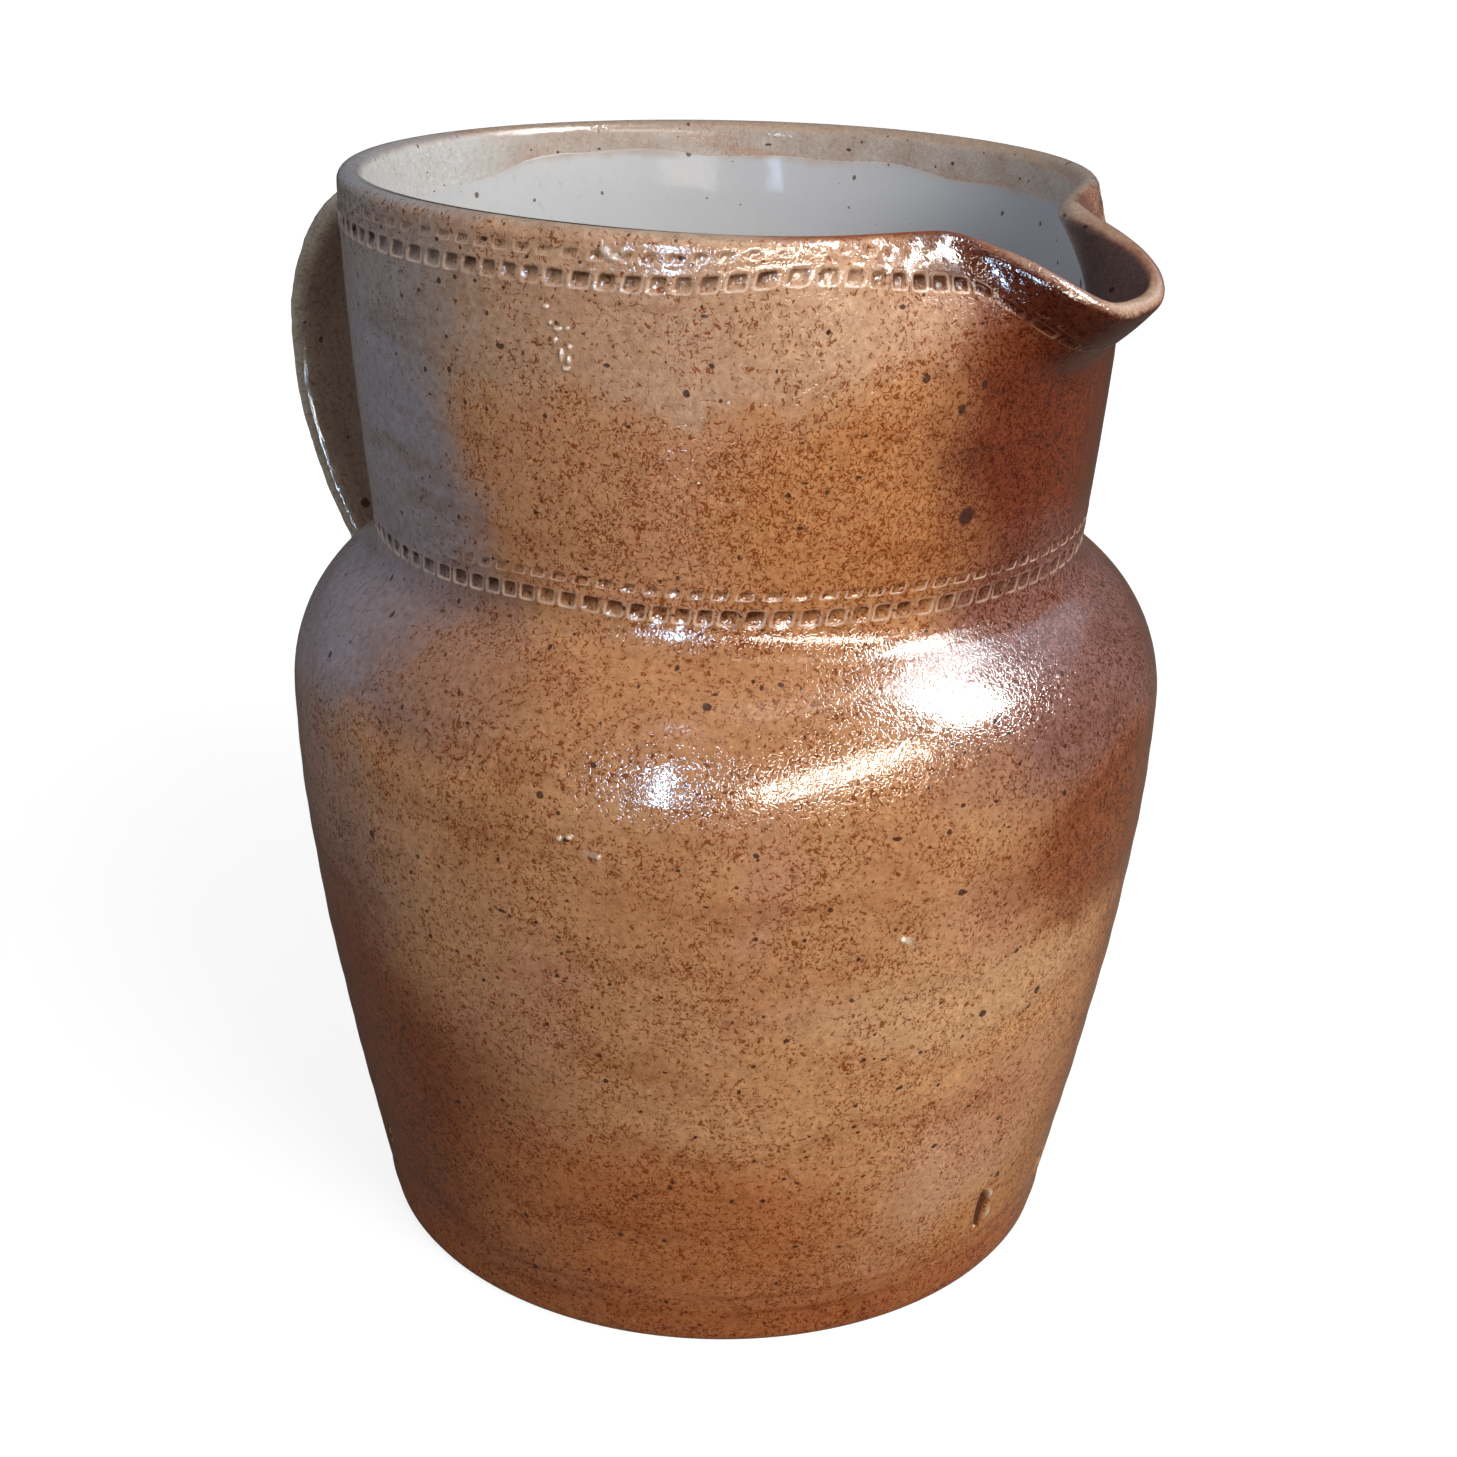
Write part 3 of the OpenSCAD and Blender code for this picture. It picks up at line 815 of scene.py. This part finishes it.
# Flashing: colour, angle, height, half width, half height, share, extra iron, and softness if it differs
FLASHING = [
    ((160, 106, 68), 95, 110, 120, 75, 0.8, 0.02),
    ((140, 122, 112), 172, 165, 70, 60, 0.8, -0.03),
    ((202, 162, 132), -60, 206, 66, 17, 0.9, -0.06, 0.25),
    ((202, 146, 106), -54, 170, 58, 20, 0.9, 0.07, 0.16),
    ((196, 134, 80), -38, 170, 24, 22, 0.8, 0.05),
    ((118, 52, 26), 9, 182, 46, 50, 0.97, 0.12, 0.30),
    ((100, 46, 24), -6, 196, 18, 12, 0.6, 0.05, 0.5),
    ((160, 134, 122), 46, 210, 15, 18, 0.75, -0.05, 0.5),
    ((160, 151, 148), -130, 200, 50, 34, 0.92, -0.10, 0.35),
    ((156, 147, 151), -127, 164, 48, 40, 0.95, -0.14, 0.18),
    ((138, 108, 100), -98, 140, 26, 14, 0.8, 0.0),
    ((150, 136, 140), -134, 138, 40, 26, 0.9, -0.06, 0.35),
    ((174, 122, 82), -58, 138, 50, 14, 0.7, 0.0),
    ((138, 98, 90), 8, 137, 50, 23, 0.95, 0.05),
    ((150, 86, 52), 6, 105, 36, 16, 0.95, 0.07),
    ((160, 122, 106), -124, 96, 34, 28, 0.9, 0.0),
    ((138, 70, 34), -118, 40, 46, 48, 0.95, 0.02, 0.35),
    ((216, 162, 114), -26, 58, 50, 26, 0.75, -0.01, 0.5),
    ((212, 166, 124), -22, 80, 34, 9, 0.8, -0.03),
    ((190, 110, 50), 30, 52, 34, 48, 0.8, 0.02, 0.6),
    ((190, 116, 66), -64, 30, 42, 20, 0.85, 0.03, 0.45),
    ((216, 170, 138), -18, 32, 16, 12, 0.6, -0.04, 0.5),
    ((206, 148, 116), -15, 49, 18, 12, 0.5, 0.0, 0.5),
    ((212, 148, 88), -2, 18, 26, 14, 0.65, 0.0, 0.5),
]
# Trimming lines over the foot: height and half height
FOOT_LINES = [(8.0, 1.2), (12.5, 1.0)]
IRON_LEVEL = 0.49
STROKE_TINT = (0.48, 0.26, 0.13)
# Pooled glaze and painted shade in the rolled pits
PIT_GLAZE_AND_SHADE = (0.18, 0.12, 0.10)
SPECK_COLOUR = srgb(50, 29, 28)
# Large specks: place and radius in millimetres
BIG_SPECKS = [
    (68.7, -25.4, 168.8, 1.7), (70.5, -25.1, 192.4, 0.7), (68.7, -29.4, 188.6, 0.8),
    (43.6, -67.6, 139.7, 0.8), (21.3, -85.9, 123.4, 0.8),
]
CLAY_LIGHT, CLAY_DEEP, CLAY_PINK = srgb(206, 154, 110), srgb(194, 138, 94), srgb(200, 146, 116)
# Streaks and mottles, dark and pale: levels of the noise, and tint
STREAKS = [(0.52, 0.74, (0.72, 0.58, 0.46)), (0.46, 0.28, (1.16, 1.18, 1.2))]
MOTTLES = [(0.5, 0.68, (0.80, 0.74, 0.70)), (0.5, 0.34, (1.14, 1.16, 1.18))]
PEEL_TINT = (1.10, 1.12, 1.14)
FOOT_COLOUR, FOOT_LINE_COLOUR = srgb(176, 95, 42), srgb(140, 74, 34)
BARE_FOOT = srgb(168, 132, 100)
# The second colour is pale glaze with a painted highlight, for the raised outlines of the rolled squares
STAIN_COLOUR, OUTLINE_GLAZE_AND_HIGHLIGHT = srgb(86, 40, 25), srgb(228, 199, 177)
# The second colour is pale glass with a painted glint, for the drips and the beads beside the scars
SCAR_COLOUR, BEAD_AND_GLINT_COLOUR = srgb(92, 52, 36), srgb(240, 222, 200)
# The last of these is dark glaze with painted shade, for the lip's inner edge in front
LIP_LIGHT, LIP_DEEP, LIP_GLAZE_AND_SHADE = srgb(192, 168, 148), srgb(172, 146, 126), srgb(62, 42, 34)
BARE_LIGHT, BARE_DEEP, BARE_STREAK = srgb(200, 188, 178), srgb(186, 168, 156), srgb(194, 150, 122)
BARE_PALE, CHANNEL_COLOUR = srgb(212, 213, 212), srgb(98, 78, 76)
# Spots: angle, height, half width, half height, and softness if it differs
STAIN_SPOT = (-14, HEIGHT - 10, 24, 30)
DRY_ROOT = (-10, 148, 24, 3.2)
DRY_SPOTS = [(-27, 202, 24, 9), (-60, 201, 26, 9)]
FLAKY_SPOT = (-32, 214, 18, 8)
# Where the lip's inner edge gets its line of dark glaze and painted shade
LIP_GLAZE_AND_SHADE_SPOT = (-90, HEIGHT, 36, 60)
PALE_SPOTS = [(-150, HEIGHT - 10, 70, 60), (196, HEIGHT - 10, 34, 60, 0.5)]
# Tints round the lip: colour, angle and half length in millimetres
LIP_TINTS = [
    ((164, 164, 168), -140, 62),
    ((146, 76, 44), -34, 24),
    ((176, 158, 142), 100, 110),
    ((150, 102, 76), 0, 18),
    ((208, 176, 152), 0, 11),
]


def iron_strokes(paint, place, size, level):
    """Share of thin, broken comma strokes, more where the level is higher, and the beads' height."""
    cloud = paint.noise(place, size, 1.0, 0.5, 0.6, True)
    grains = paint.node("ShaderNodeSeparateColor", {0: cloud}).outputs
    away = paint.apart(grains[0], 0.5)
    line = paint.span(away, 0.075, 0.025)
    broken = paint.span(paint.minus(level, grains[1]), -0.03, 0.03)
    return paint.times(line, broken), away


def stamp_paint(paint, place, up, tall, half, firm):
    """Dark share of pooled glaze and painted shade, and pale outline of pale glaze and a painted
    highlight, of one rolled row, crisper than its mesh.
    """
    y = paint.math("DIVIDE", up, tall)
    leaning = paint.minus(place, paint.times(paint.minus(y, 0.5), SLANT))
    x = paint.math("FRACT", leaning)
    side = paint.math("DIVIDE", paint.apart(x, 0.5), half)
    rise = paint.math("DIVIDE", paint.apart(y, 0.5), 0.5)
    squared = paint.plus(paint.math("POWER", side, CORNER), paint.math("POWER", rise, CORNER))
    reach = paint.math("POWER", squared, 1 / CORNER)
    line = paint.span(paint.apart(reach, 1.06), 0.22, 0.07)
    # Painted highlight: the outline paler along the lower ledge, where the light falls
    line = paint.times(line, paint.span(y, 1.1, 0.0, 0.35, 1.0))
    # Painted shade with pooled glaze: the pit darker towards its upper left, under its top edge
    left = paint.times(paint.minus(1.0, x), 0.5)
    deep = paint.span(paint.plus(left, paint.times(y, 0.7)), 0.3, 0.8, 0.1, 1.0)
    count = paint.math("FLOOR", leaning)
    press = paint.node("ShaderNodeTexWhiteNoise", {"W": count}, noise_dimensions="1D").outputs["Value"]
    deep = paint.times(deep, paint.span(press, 0.0, 1.0, 0.55, 1.0))
    dark = paint.times(paint.span(reach, 1.0, 0.75), deep)
    return paint.times(dark, firm), paint.times(line, firm)


def rolled_paint(paint):
    """Dark share of pooled glaze and painted shade, and pale outline of pale glaze and a painted
    highlight, of both rows of the rolled bands.
    """
    axes = paint.axes(paint.attribute("rolled", "Vector"))
    angle = paint.math("ARCTAN2", axes[1], axes[0])
    place = paint.plus(paint.times(angle, CELLS / (2 * math.pi)), CELLS / 2)
    for reach, count, phase in UNEVEN:
        wave = paint.math("SINE", paint.plus(paint.times(angle, count), phase))
        place = paint.plus(place, paint.times(wave, reach))
    pit, line = stamp_paint(paint, place, axes[2], SQUARE_TALL, SQUARE_HALF, paint.attribute("roll_firm"))
    bar_place = paint.plus(place, BAR_STEP)
    bar_up = paint.minus(axes[2], BAR_UP)
    bar, bar_line = stamp_paint(paint, bar_place, bar_up, BAR_TALL, BAR_HALF, paint.attribute("bar_firm"))
    open_top = paint.span(bar_up, BAR_TALL, 0.6 * BAR_TALL)
    pit = paint.plus(pit, paint.times(bar, 0.7))
    return pit, paint.plus(line, paint.times(bar_line, open_top))


def bare_band(paint, place):
    """The unglazed clay inside, from the lip to the poured coat, and the spout's dark channel."""
    cloud = paint.noise(place, 9, 3, 0.6)
    colour = paint.mix(paint.span(cloud, 0.35, 0.65), BARE_LIGHT, BARE_DEEP)
    streaks = paint.noise(paint.stretched(place, (0.12, 0.12, 1.0)), 4, 2, 0.5)
    colour = paint.mix(paint.span(streaks, 0.55, 0.72, 0, 0.4), colour, BARE_STREAK)
    chart = paint.chart(paint.warped(place, 9, 3))
    for spot in PALE_SPOTS:
        colour = paint.mix(paint.patch(chart, *spot), colour, BARE_PALE)
    axes = paint.axes(place)
    angle = paint.math("ABSOLUTE", paint.math("ARCTAN2", axes[1], axes[0]))
    return paint.mix(paint.span(angle, 0.40, 0.24), colour, CHANNEL_COLOUR)


def rim_paint(paint, place, turn, colour):
    """The lip's colours, a dark line of glaze and painted shade on its inner edge in front, and the bare
    band inside.
    """
    chart = paint.chart(paint.warped(place, 9, 3))
    cloud = paint.minus(paint.noise(place, 9, 3, 0.6), 0.5)
    loose_turn = paint.plus(turn, paint.times(cloud, 0.3))
    crest = paint.times(paint.span(loose_turn, 0.10, 0.32), paint.span(loose_turn, 0.98, 0.75))
    crest_colour = paint.mix(paint.span(cloud, -0.15, 0.15), LIP_LIGHT, LIP_DEEP)
    for tint, a, half_w in LIP_TINTS:
        crest_colour = paint.mix(paint.patch(chart, a, HEIGHT - 6, half_w, 60), crest_colour, srgb(*tint))
    colour = paint.mix(paint.times(crest, 0.9), colour, crest_colour)
    # Dark glaze and painted shade: a dark line along the lip's inner edge in front, where the rounding
    # turns away from the light
    line = paint.times(paint.span(turn, 0.40, 0.46), paint.span(turn, 0.72, 0.64))
    colour = paint.mix(paint.times(line, paint.patch(chart, *LIP_GLAZE_AND_SHADE_SPOT)), colour, LIP_GLAZE_AND_SHADE)
    return paint.mix(paint.span(loose_turn, 0.74, 0.96), colour, bare_band(paint, place))


def flashed_clay(paint, place, chart, cloud):
    """The clay's colour with its flashing, and the level of iron in it."""
    colour = paint.mix(paint.span(cloud, 0.35, 0.68), CLAY_LIGHT, CLAY_DEEP)
    colour = paint.mix(paint.span(paint.noise(place, 26, 2, 0.5), 0.52, 0.70, 0, 0.5), colour, CLAY_PINK)
    level = paint.span(paint.noise(place, 11, 3, 0.6), 0.3, 0.7, IRON_LEVEL - 0.09, IRON_LEVEL + 0.09)
    for tint, a, z, half_w, half_h, firm, iron, *soft in FLASHING:
        share = paint.times(paint.patch(chart, a, z, half_w, half_h, *soft), firm)
        colour = paint.mix(share, colour, srgb(*tint))
        level = paint.plus(level, paint.times(share, iron))
    return colour, level


def foot_paint(paint, place, cloud, colour):
    """A darker foot with broken trimming lines."""
    height = paint.axes(paint.warped(place, 25, 1.0))[2]
    colour = paint.mix(paint.span(height, 0.024, 0.004, 0, 0.75), colour, FOOT_COLOUR)
    broken = paint.span(cloud, 0.4, 0.62, 0, 0.5)
    for low, tall in FOOT_LINES:
        away = paint.apart(height, low * MM)
        line = paint.times(paint.span(away, tall * MM, 0.2 * tall * MM), broken)
        colour = paint.mix(line, colour, FOOT_LINE_COLOUR)
    return colour


def iron_specks(paint, place, chart):
    """Share of dark specks, small ones all over and a few large ones."""
    wide_chart = paint.stretched(chart, (0.5, 1.0, 1.0))
    dark = paint.most(paint.specks(chart, 5.5, 0.12, 0.55, 0.75), paint.specks(chart, 15, 0.3, 0.9, 0.65))
    dark = paint.most(dark, paint.specks(wide_chart, 9, 0.2, 0.5, 0.7))
    lumpy = paint.warped(place, 2.5, 0.4)
    for x, y, z, radius in BIG_SPECKS:
        away = paint.vector_math("DISTANCE", lumpy, (x * MM, y * MM, z * MM))["Value"]
        dark = paint.most(dark, paint.span(away, radius * 1.15 * MM, radius * 0.8 * MM))
    return dark


def clear_coat(paint, place, turn, pit, chart, fine_chart):
    """Share of clear coat, with little of it inside, in the pits and on the dry spots."""
    coat = paint.times(paint.span(turn, 0.98, 0.7, 0.15, 1.0), paint.span(pit, 0, 1, 1.0, 0.35))
    dry = paint.patch(fine_chart, *DRY_ROOT)
    for spot in DRY_SPOTS:
        dry = paint.most(dry, paint.patch(chart, *spot))
    coat = paint.times(coat, paint.span(dry, 0, 1, 1.0, 0.15))
    flaky = paint.times(paint.patch(chart, *FLAKY_SPOT), paint.span(paint.noise(place, 3, 2), 0.62, 0.45))
    return paint.times(coat, paint.span(flaky, 0, 1, 1.0, 0.1))


def salt_glaze():
    paint = Paint(bpy.data.materials.new("salt_glaze"))
    place = paint.place()
    loose = paint.warped(paint.warped(place, 22, 9), 4, 3)
    chart = paint.chart(loose)
    fine_chart = paint.chart(paint.warped(place, 1.3, 0.35))
    cloud = paint.noise(place, 38, 3, 0.55)
    colour, level = flashed_clay(paint, place, chart, cloud)
    colour = foot_paint(paint, place, cloud, colour)
    streaks = paint.noise(paint.stretched(loose, (0.16, 0.16, 1.0)), 9, 3, 0.6)
    for low, high, factor in STREAKS:
        colour = paint.tint(paint.span(streaks, low, high, 0, 0.7), colour, factor)
    up = paint.axes(paint.attribute("rolled", "Vector"))[2]
    stain = paint.times(paint.span(up, -0.5, 1.5), paint.patch(chart, *STAIN_SPOT))
    colour = paint.mix(paint.times(stain, 0.95), colour, STAIN_COLOUR)
    turn = paint.attribute("lip_turn")
    colour = rim_paint(paint, place, turn, colour)
    strokes, beads = iron_strokes(paint, place, 0.95, level)
    outside = paint.span(turn, 0.4, 0.15, 0.25, 1.0)
    colour = paint.tint(paint.times(strokes, outside), colour, STROKE_TINT)
    colour = paint.tint(paint.span(beads, 0.12, 0.22), colour, PEEL_TINT)
    mottle = paint.noise(place, 1.6, 3, 0.65)
    for low, high, factor in MOTTLES:
        colour = paint.tint(paint.times(paint.span(mottle, low, high), outside), colour, factor)
    # Pooled glaze and painted shade in the pits, pale glaze and a painted highlight on the outlines
    pit, outline = rolled_paint(paint)
    colour = paint.tint(pit, colour, PIT_GLAZE_AND_SHADE)
    worn = paint.span(paint.noise(place, 4, 2), 0.38, 0.58, 0.3, 0.9)
    colour = paint.mix(paint.math("MULTIPLY", outline, worn, True), colour, OUTLINE_GLAZE_AND_HIGHLIGHT)
    colour = paint.mix(paint.times(iron_specks(paint, place, fine_chart), 0.85), colour, SPECK_COLOUR)
    colour = paint.mix(paint.times(paint.attribute("scar"), 0.95), colour, SCAR_COLOUR)
    # Pale glass and a painted glint on the drips and on the beads beside the scars
    colour = paint.mix(paint.times(paint.attribute("pale_bead"), 0.95), colour, BEAD_AND_GLINT_COLOUR)
    colour = paint.mix(paint.span(paint.axes(place)[2], 0.0012, 0.0006), colour, BARE_FOOT)
    peel = paint.plus(paint.span(beads, 0.0, 0.14), paint.noise(place, 2.6, 1.0, 0.5))
    normal = paint.bump(peel, 0.10, 0.28)
    roughness = paint.span(paint.noise(place, 12, 2, 0.5), 0.3, 0.7, 0.22, 0.32)
    coat = clear_coat(paint, place, turn, pit, chart, fine_chart)
    return paint.glaze(colour, roughness, normal, coat, 0.04)


LINER_LIGHT, LINER_DEEP, LINER_FLECK = srgb(214, 215, 216), srgb(206, 208, 211), srgb(170, 166, 160)
LINER_SPECK = srgb(78, 58, 50)
# Painted shade on the liner, greyer and bluer towards the right of the inside: colour and angle
LINER_PAINTED_SHADE = [(srgb(198, 200, 204), 105), (srgb(184, 187, 194), 45)]


def pale_liner():
    paint = Paint(bpy.data.materials.new("pale_liner"))
    place = paint.place()
    cloud = paint.noise(place, 30, 3, 0.55)
    colour = paint.mix(paint.span(cloud, 0.35, 0.7), LINER_LIGHT, LINER_DEEP)
    flecks = paint.span(paint.noise(place, 2.2, 2), 0.60, 0.75, 0, 0.25)
    colour = paint.mix(flecks, colour, LINER_FLECK)
    chart = paint.chart(paint.warped(place, 1.3, 0.35))
    # Painted shade: greyer, bluer stretches of the liner towards the right of the inside
    for shade, a in LINER_PAINTED_SHADE:
        colour = paint.mix(paint.patch(chart, a, HEIGHT - 30, 60, 60), colour, shade)
    ragged = paint.times(paint.minus(paint.noise(place, 7, 3), 0.5), 0.004)
    below = paint.plus(paint.attribute("below_edge"), ragged)
    colour = paint.mix(paint.span(below, 0.003, 0.0), colour, bare_band(paint, place))
    dots = paint.most(paint.specks(chart, 9, 0.2, 0.8, 0.5), paint.specks(chart, 22, 0.5, 1.2, 0.6))
    on_wall = paint.span(paint.axes(place)[2], 0.030, 0.050, 0, 0.8)
    colour = paint.mix(paint.times(dots, on_wall), colour, LINER_SPECK)
    normal = paint.bump(paint.noise(place, 2.4, 2, 0.5), 0.16, 0.4)
    roughness = paint.span(cloud, 0.3, 0.7, 0.18, 0.3)
    return paint.glaze(colour, roughness, normal, 0.06, 0.05)


HANDLE_LIGHT, HANDLE_DEEP, HANDLE_INNER = srgb(188, 176, 158), srgb(166, 152, 136), srgb(162, 146, 142)
HANDLE_SPECK = srgb(40, 28, 26)
PULLED_TINT, HANDLE_STROKE_TINT = (0.78, 0.74, 0.72), (0.72, 0.66, 0.60)
HANDLE_PEEL_TINT = (1.2, 1.18, 1.15)


def dark_glaze():
    paint = Paint(bpy.data.materials.new("dark_handle_glaze"))
    place = paint.place()
    cloud = paint.noise(place, 16, 3, 0.6)
    colour = paint.mix(paint.span(cloud, 0.36, 0.66), HANDLE_LIGHT, HANDLE_DEEP)
    colour = paint.mix(paint.times(paint.attribute("inner_face"), 0.7), colour, HANDLE_INNER)
    pulled = paint.noise(paint.stretched(place, (0.25, 1.0, 0.25)), 1.6, 3, 0.6)
    colour = paint.tint(paint.span(pulled, 0.5, 0.72, 0, 0.8), colour, PULLED_TINT)
    strokes, beads = iron_strokes(paint, place, 1.3, IRON_LEVEL)
    colour = paint.tint(strokes, colour, HANDLE_STROKE_TINT)
    colour = paint.tint(paint.span(beads, 0.12, 0.22), colour, HANDLE_PEEL_TINT)
    dots = paint.specks(paint.warped(place, 1.3, 0.35), 5.5, 0.5, 1.3, 0.5, False)
    colour = paint.mix(paint.times(dots, 0.8), colour, HANDLE_SPECK)
    normal = paint.bump(paint.span(beads, 0.0, 0.14), 0.1, 0.2, paint.bump(pulled, 0.2, 0.2))
    roughness = paint.span(cloud, 0.3, 0.7, 0.2, 0.34)
    return paint.glaze(colour, roughness, normal, 1.0, 0.05)


# Floor, light and camera, in metres and degrees
FLOOR_HALF = 6.0
# The camera sees a pale floor, and the pot gets back a dull one
SEEN_GREYS = srgb(150, 150, 150), srgb(156, 156, 156)
DULL_GREYS = srgb(120, 112, 104), srgb(126, 118, 110)
SKY_COLOUR, SKY_STRENGTH = (0.93, 0.96, 1.0, 1.0), 0.16
AIM_HEIGHT = 0.125
# Soft boxes: name, angle round, angle up, distance, width, height, power, colour, use, and roll if any
LAMPS = [
    ("key", -18, 33, 1.1, 0.6, 0.6, 10.6, (1.0, 0.97, 0.93), "matt"),
    ("left_fill", -112, 12, 1.2, 0.8, 0.8, 1.6, (0.88, 0.92, 1.0), "matt"),
    ("right_fill", 56, 10, 1.1, 0.5, 0.5, 1.8, (1.0, 0.88, 0.76), "matt"),
    ("overhead", -60, 72, 1.2, 0.9, 0.9, 1.2, (1.0, 0.98, 0.96), "matt"),
    ("cool_left", -163, 10, 1.0, 1.1, 0.6, 2.4, (0.72, 0.84, 1.0), "matt"),
    ("window", 21, 39, 3.0, 0.9, 1.35, 300.0, (1.0, 0.99, 0.98), "gloss"),
    ("window_top", 37, 54, 3.0, 1.5, 0.75, 80.0, (0.92, 0.95, 1.0), "gloss"),
    ("low_strip", -26, 16, 3.0, 2.6, 0.62, 200.0, (1.0, 0.89, 0.77), "gloss", 26),
    ("high_strip", -22, 61, 3.0, 1.7, 0.6, 12.0, (1.0, 0.88, 0.76), "gloss"),
    ("sky_spot", -68, 44, 1.0, 0.12, 0.10, 0.3, (0.70, 0.82, 1.0), "gloss"),
    ("near_camera", -69, 9, 0.75, 0.055, 0.30, 4.8, (0.50, 0.74, 1.0), "gloss"),
    ("cool_right", 62, 40, 1.1, 0.7, 0.7, 2.4, (0.80, 0.85, 1.0), "gloss"),
]
CAMERA_AT = (0.24469, -0.34945, 0.27731)
CAMERA_RIGHT = (0.81533, 0.57864, 0.02064)
CAMERA_BACK = (0.52933, -0.75934, 0.37843)
SENSOR, LENS = 36.0, 53.48


def pale_floor():
    bm = bmesh.new()
    bmesh.ops.create_grid(bm, x_segments=1, y_segments=1, size=FLOOR_HALF)
    floor = finish_mesh(bm, "floor")
    paint = Paint(bpy.data.materials.new("floor_paint"))
    speckle = paint.noise(paint.place(), 40, 2)
    shaded = paint.node("ShaderNodeBsdfDiffuse", {"Color": paint.mix(speckle, *SEEN_GREYS)}).outputs[0]
    glow_level = paint.span(paint.length(paint.place()), 0.15, 0.6, 0.84, 1.0)
    glow = paint.node("ShaderNodeEmission", {"Strength": glow_level}).outputs[0]
    to_camera = paint.node("ShaderNodeAddShader", {0: shaded, 1: glow}).outputs[0]
    to_pot = paint.node("ShaderNodeBsdfDiffuse", {"Color": paint.mix(speckle, *DULL_GREYS)}).outputs[0]
    paint.node("ShaderNodeOutputMaterial", {"Surface": paint.by_camera(to_camera, to_pot)})
    floor.data.materials.append(paint.owner)


def sky():
    """A dim soft sky that the camera sees as white."""
    paint = Paint(bpy.data.worlds.new("studio"))
    soft = paint.node("ShaderNodeBackground", {"Color": SKY_COLOUR, "Strength": SKY_STRENGTH}).outputs[0]
    white = paint.node("ShaderNodeBackground", {"Color": (1.0, 1.0, 1.0, 1.0)}).outputs[0]
    paint.node("ShaderNodeOutputWorld", {"Surface": paint.by_camera(white, soft)})
    bpy.context.scene.world = paint.owner


def lamp(name, azimuth, elevation, distance, wide, tall, power, colour, use, roll=0):
    """A soft box that faces the pot, and lights its matt clay or shows in its gloss."""
    data = bpy.data.lights.new(name, "AREA")
    data.shape = "RECTANGLE"
    data.size = wide
    data.size_y = tall
    data.energy = power
    data.color = colour
    a, e = math.radians(azimuth), math.radians(elevation)
    way = Vector((math.cos(a) * math.cos(e), math.sin(a) * math.cos(e), math.sin(e)))
    box = bpy.data.objects.new(name, data)
    box.location = Vector((0, 0, AIM_HEIGHT)) + way * distance
    box.rotation_mode = "QUATERNION"
    facing = (-way).to_track_quat("-Z", "Y")
    box.rotation_quaternion = facing @ Quaternion((0, 0, 1), math.radians(roll))
    box.visible_glossy = use == "gloss"
    box.visible_diffuse = use == "matt"
    bpy.context.scene.collection.objects.link(box)


def studio_camera():
    data = bpy.data.cameras.new("photo_view")
    data.sensor_width = SENSOR
    data.lens = LENS
    data.clip_start = 0.01
    camera = bpy.data.objects.new("photo_view", data)
    bpy.context.scene.collection.objects.link(camera)
    right = Vector(CAMERA_RIGHT).normalized()
    back = Vector(CAMERA_BACK).normalized()
    up = back.cross(right).normalized()
    turn = Matrix((right, up, back)).transposed()
    camera.matrix_world = Matrix.Translation(CAMERA_AT) @ turn.to_4x4()
    bpy.context.scene.camera = camera


body = thrown_body()
liner = liner_glaze()
handle = strap_handle()
upper = joint_clay("upper_joint", 0.0, 0.30, 21)
lower = joint_clay("lower_joint", 2.0, 1.72, 22)

dark = dark_glaze()
for piece, node, slot, material in (
    (body, "thrown_body", "salt_glazed_stoneware", salt_glaze()),
    (liner, "liner_glaze", "pale_liner_glaze", pale_liner()),
    (handle, "handle", "dark_glazed_handle", dark),
    (upper, "upper_lute", "dark_glazed_handle", dark),
    (lower, "lower_lute", "dark_glazed_handle", dark),
):
    piece.data.materials.append(material)
    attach(piece, "root")
    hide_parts(node)

pale_floor()
sky()
for box in LAMPS:
    lamp(*box)
studio_camera()
bpy.context.scene.view_settings.view_transform = "Standard"
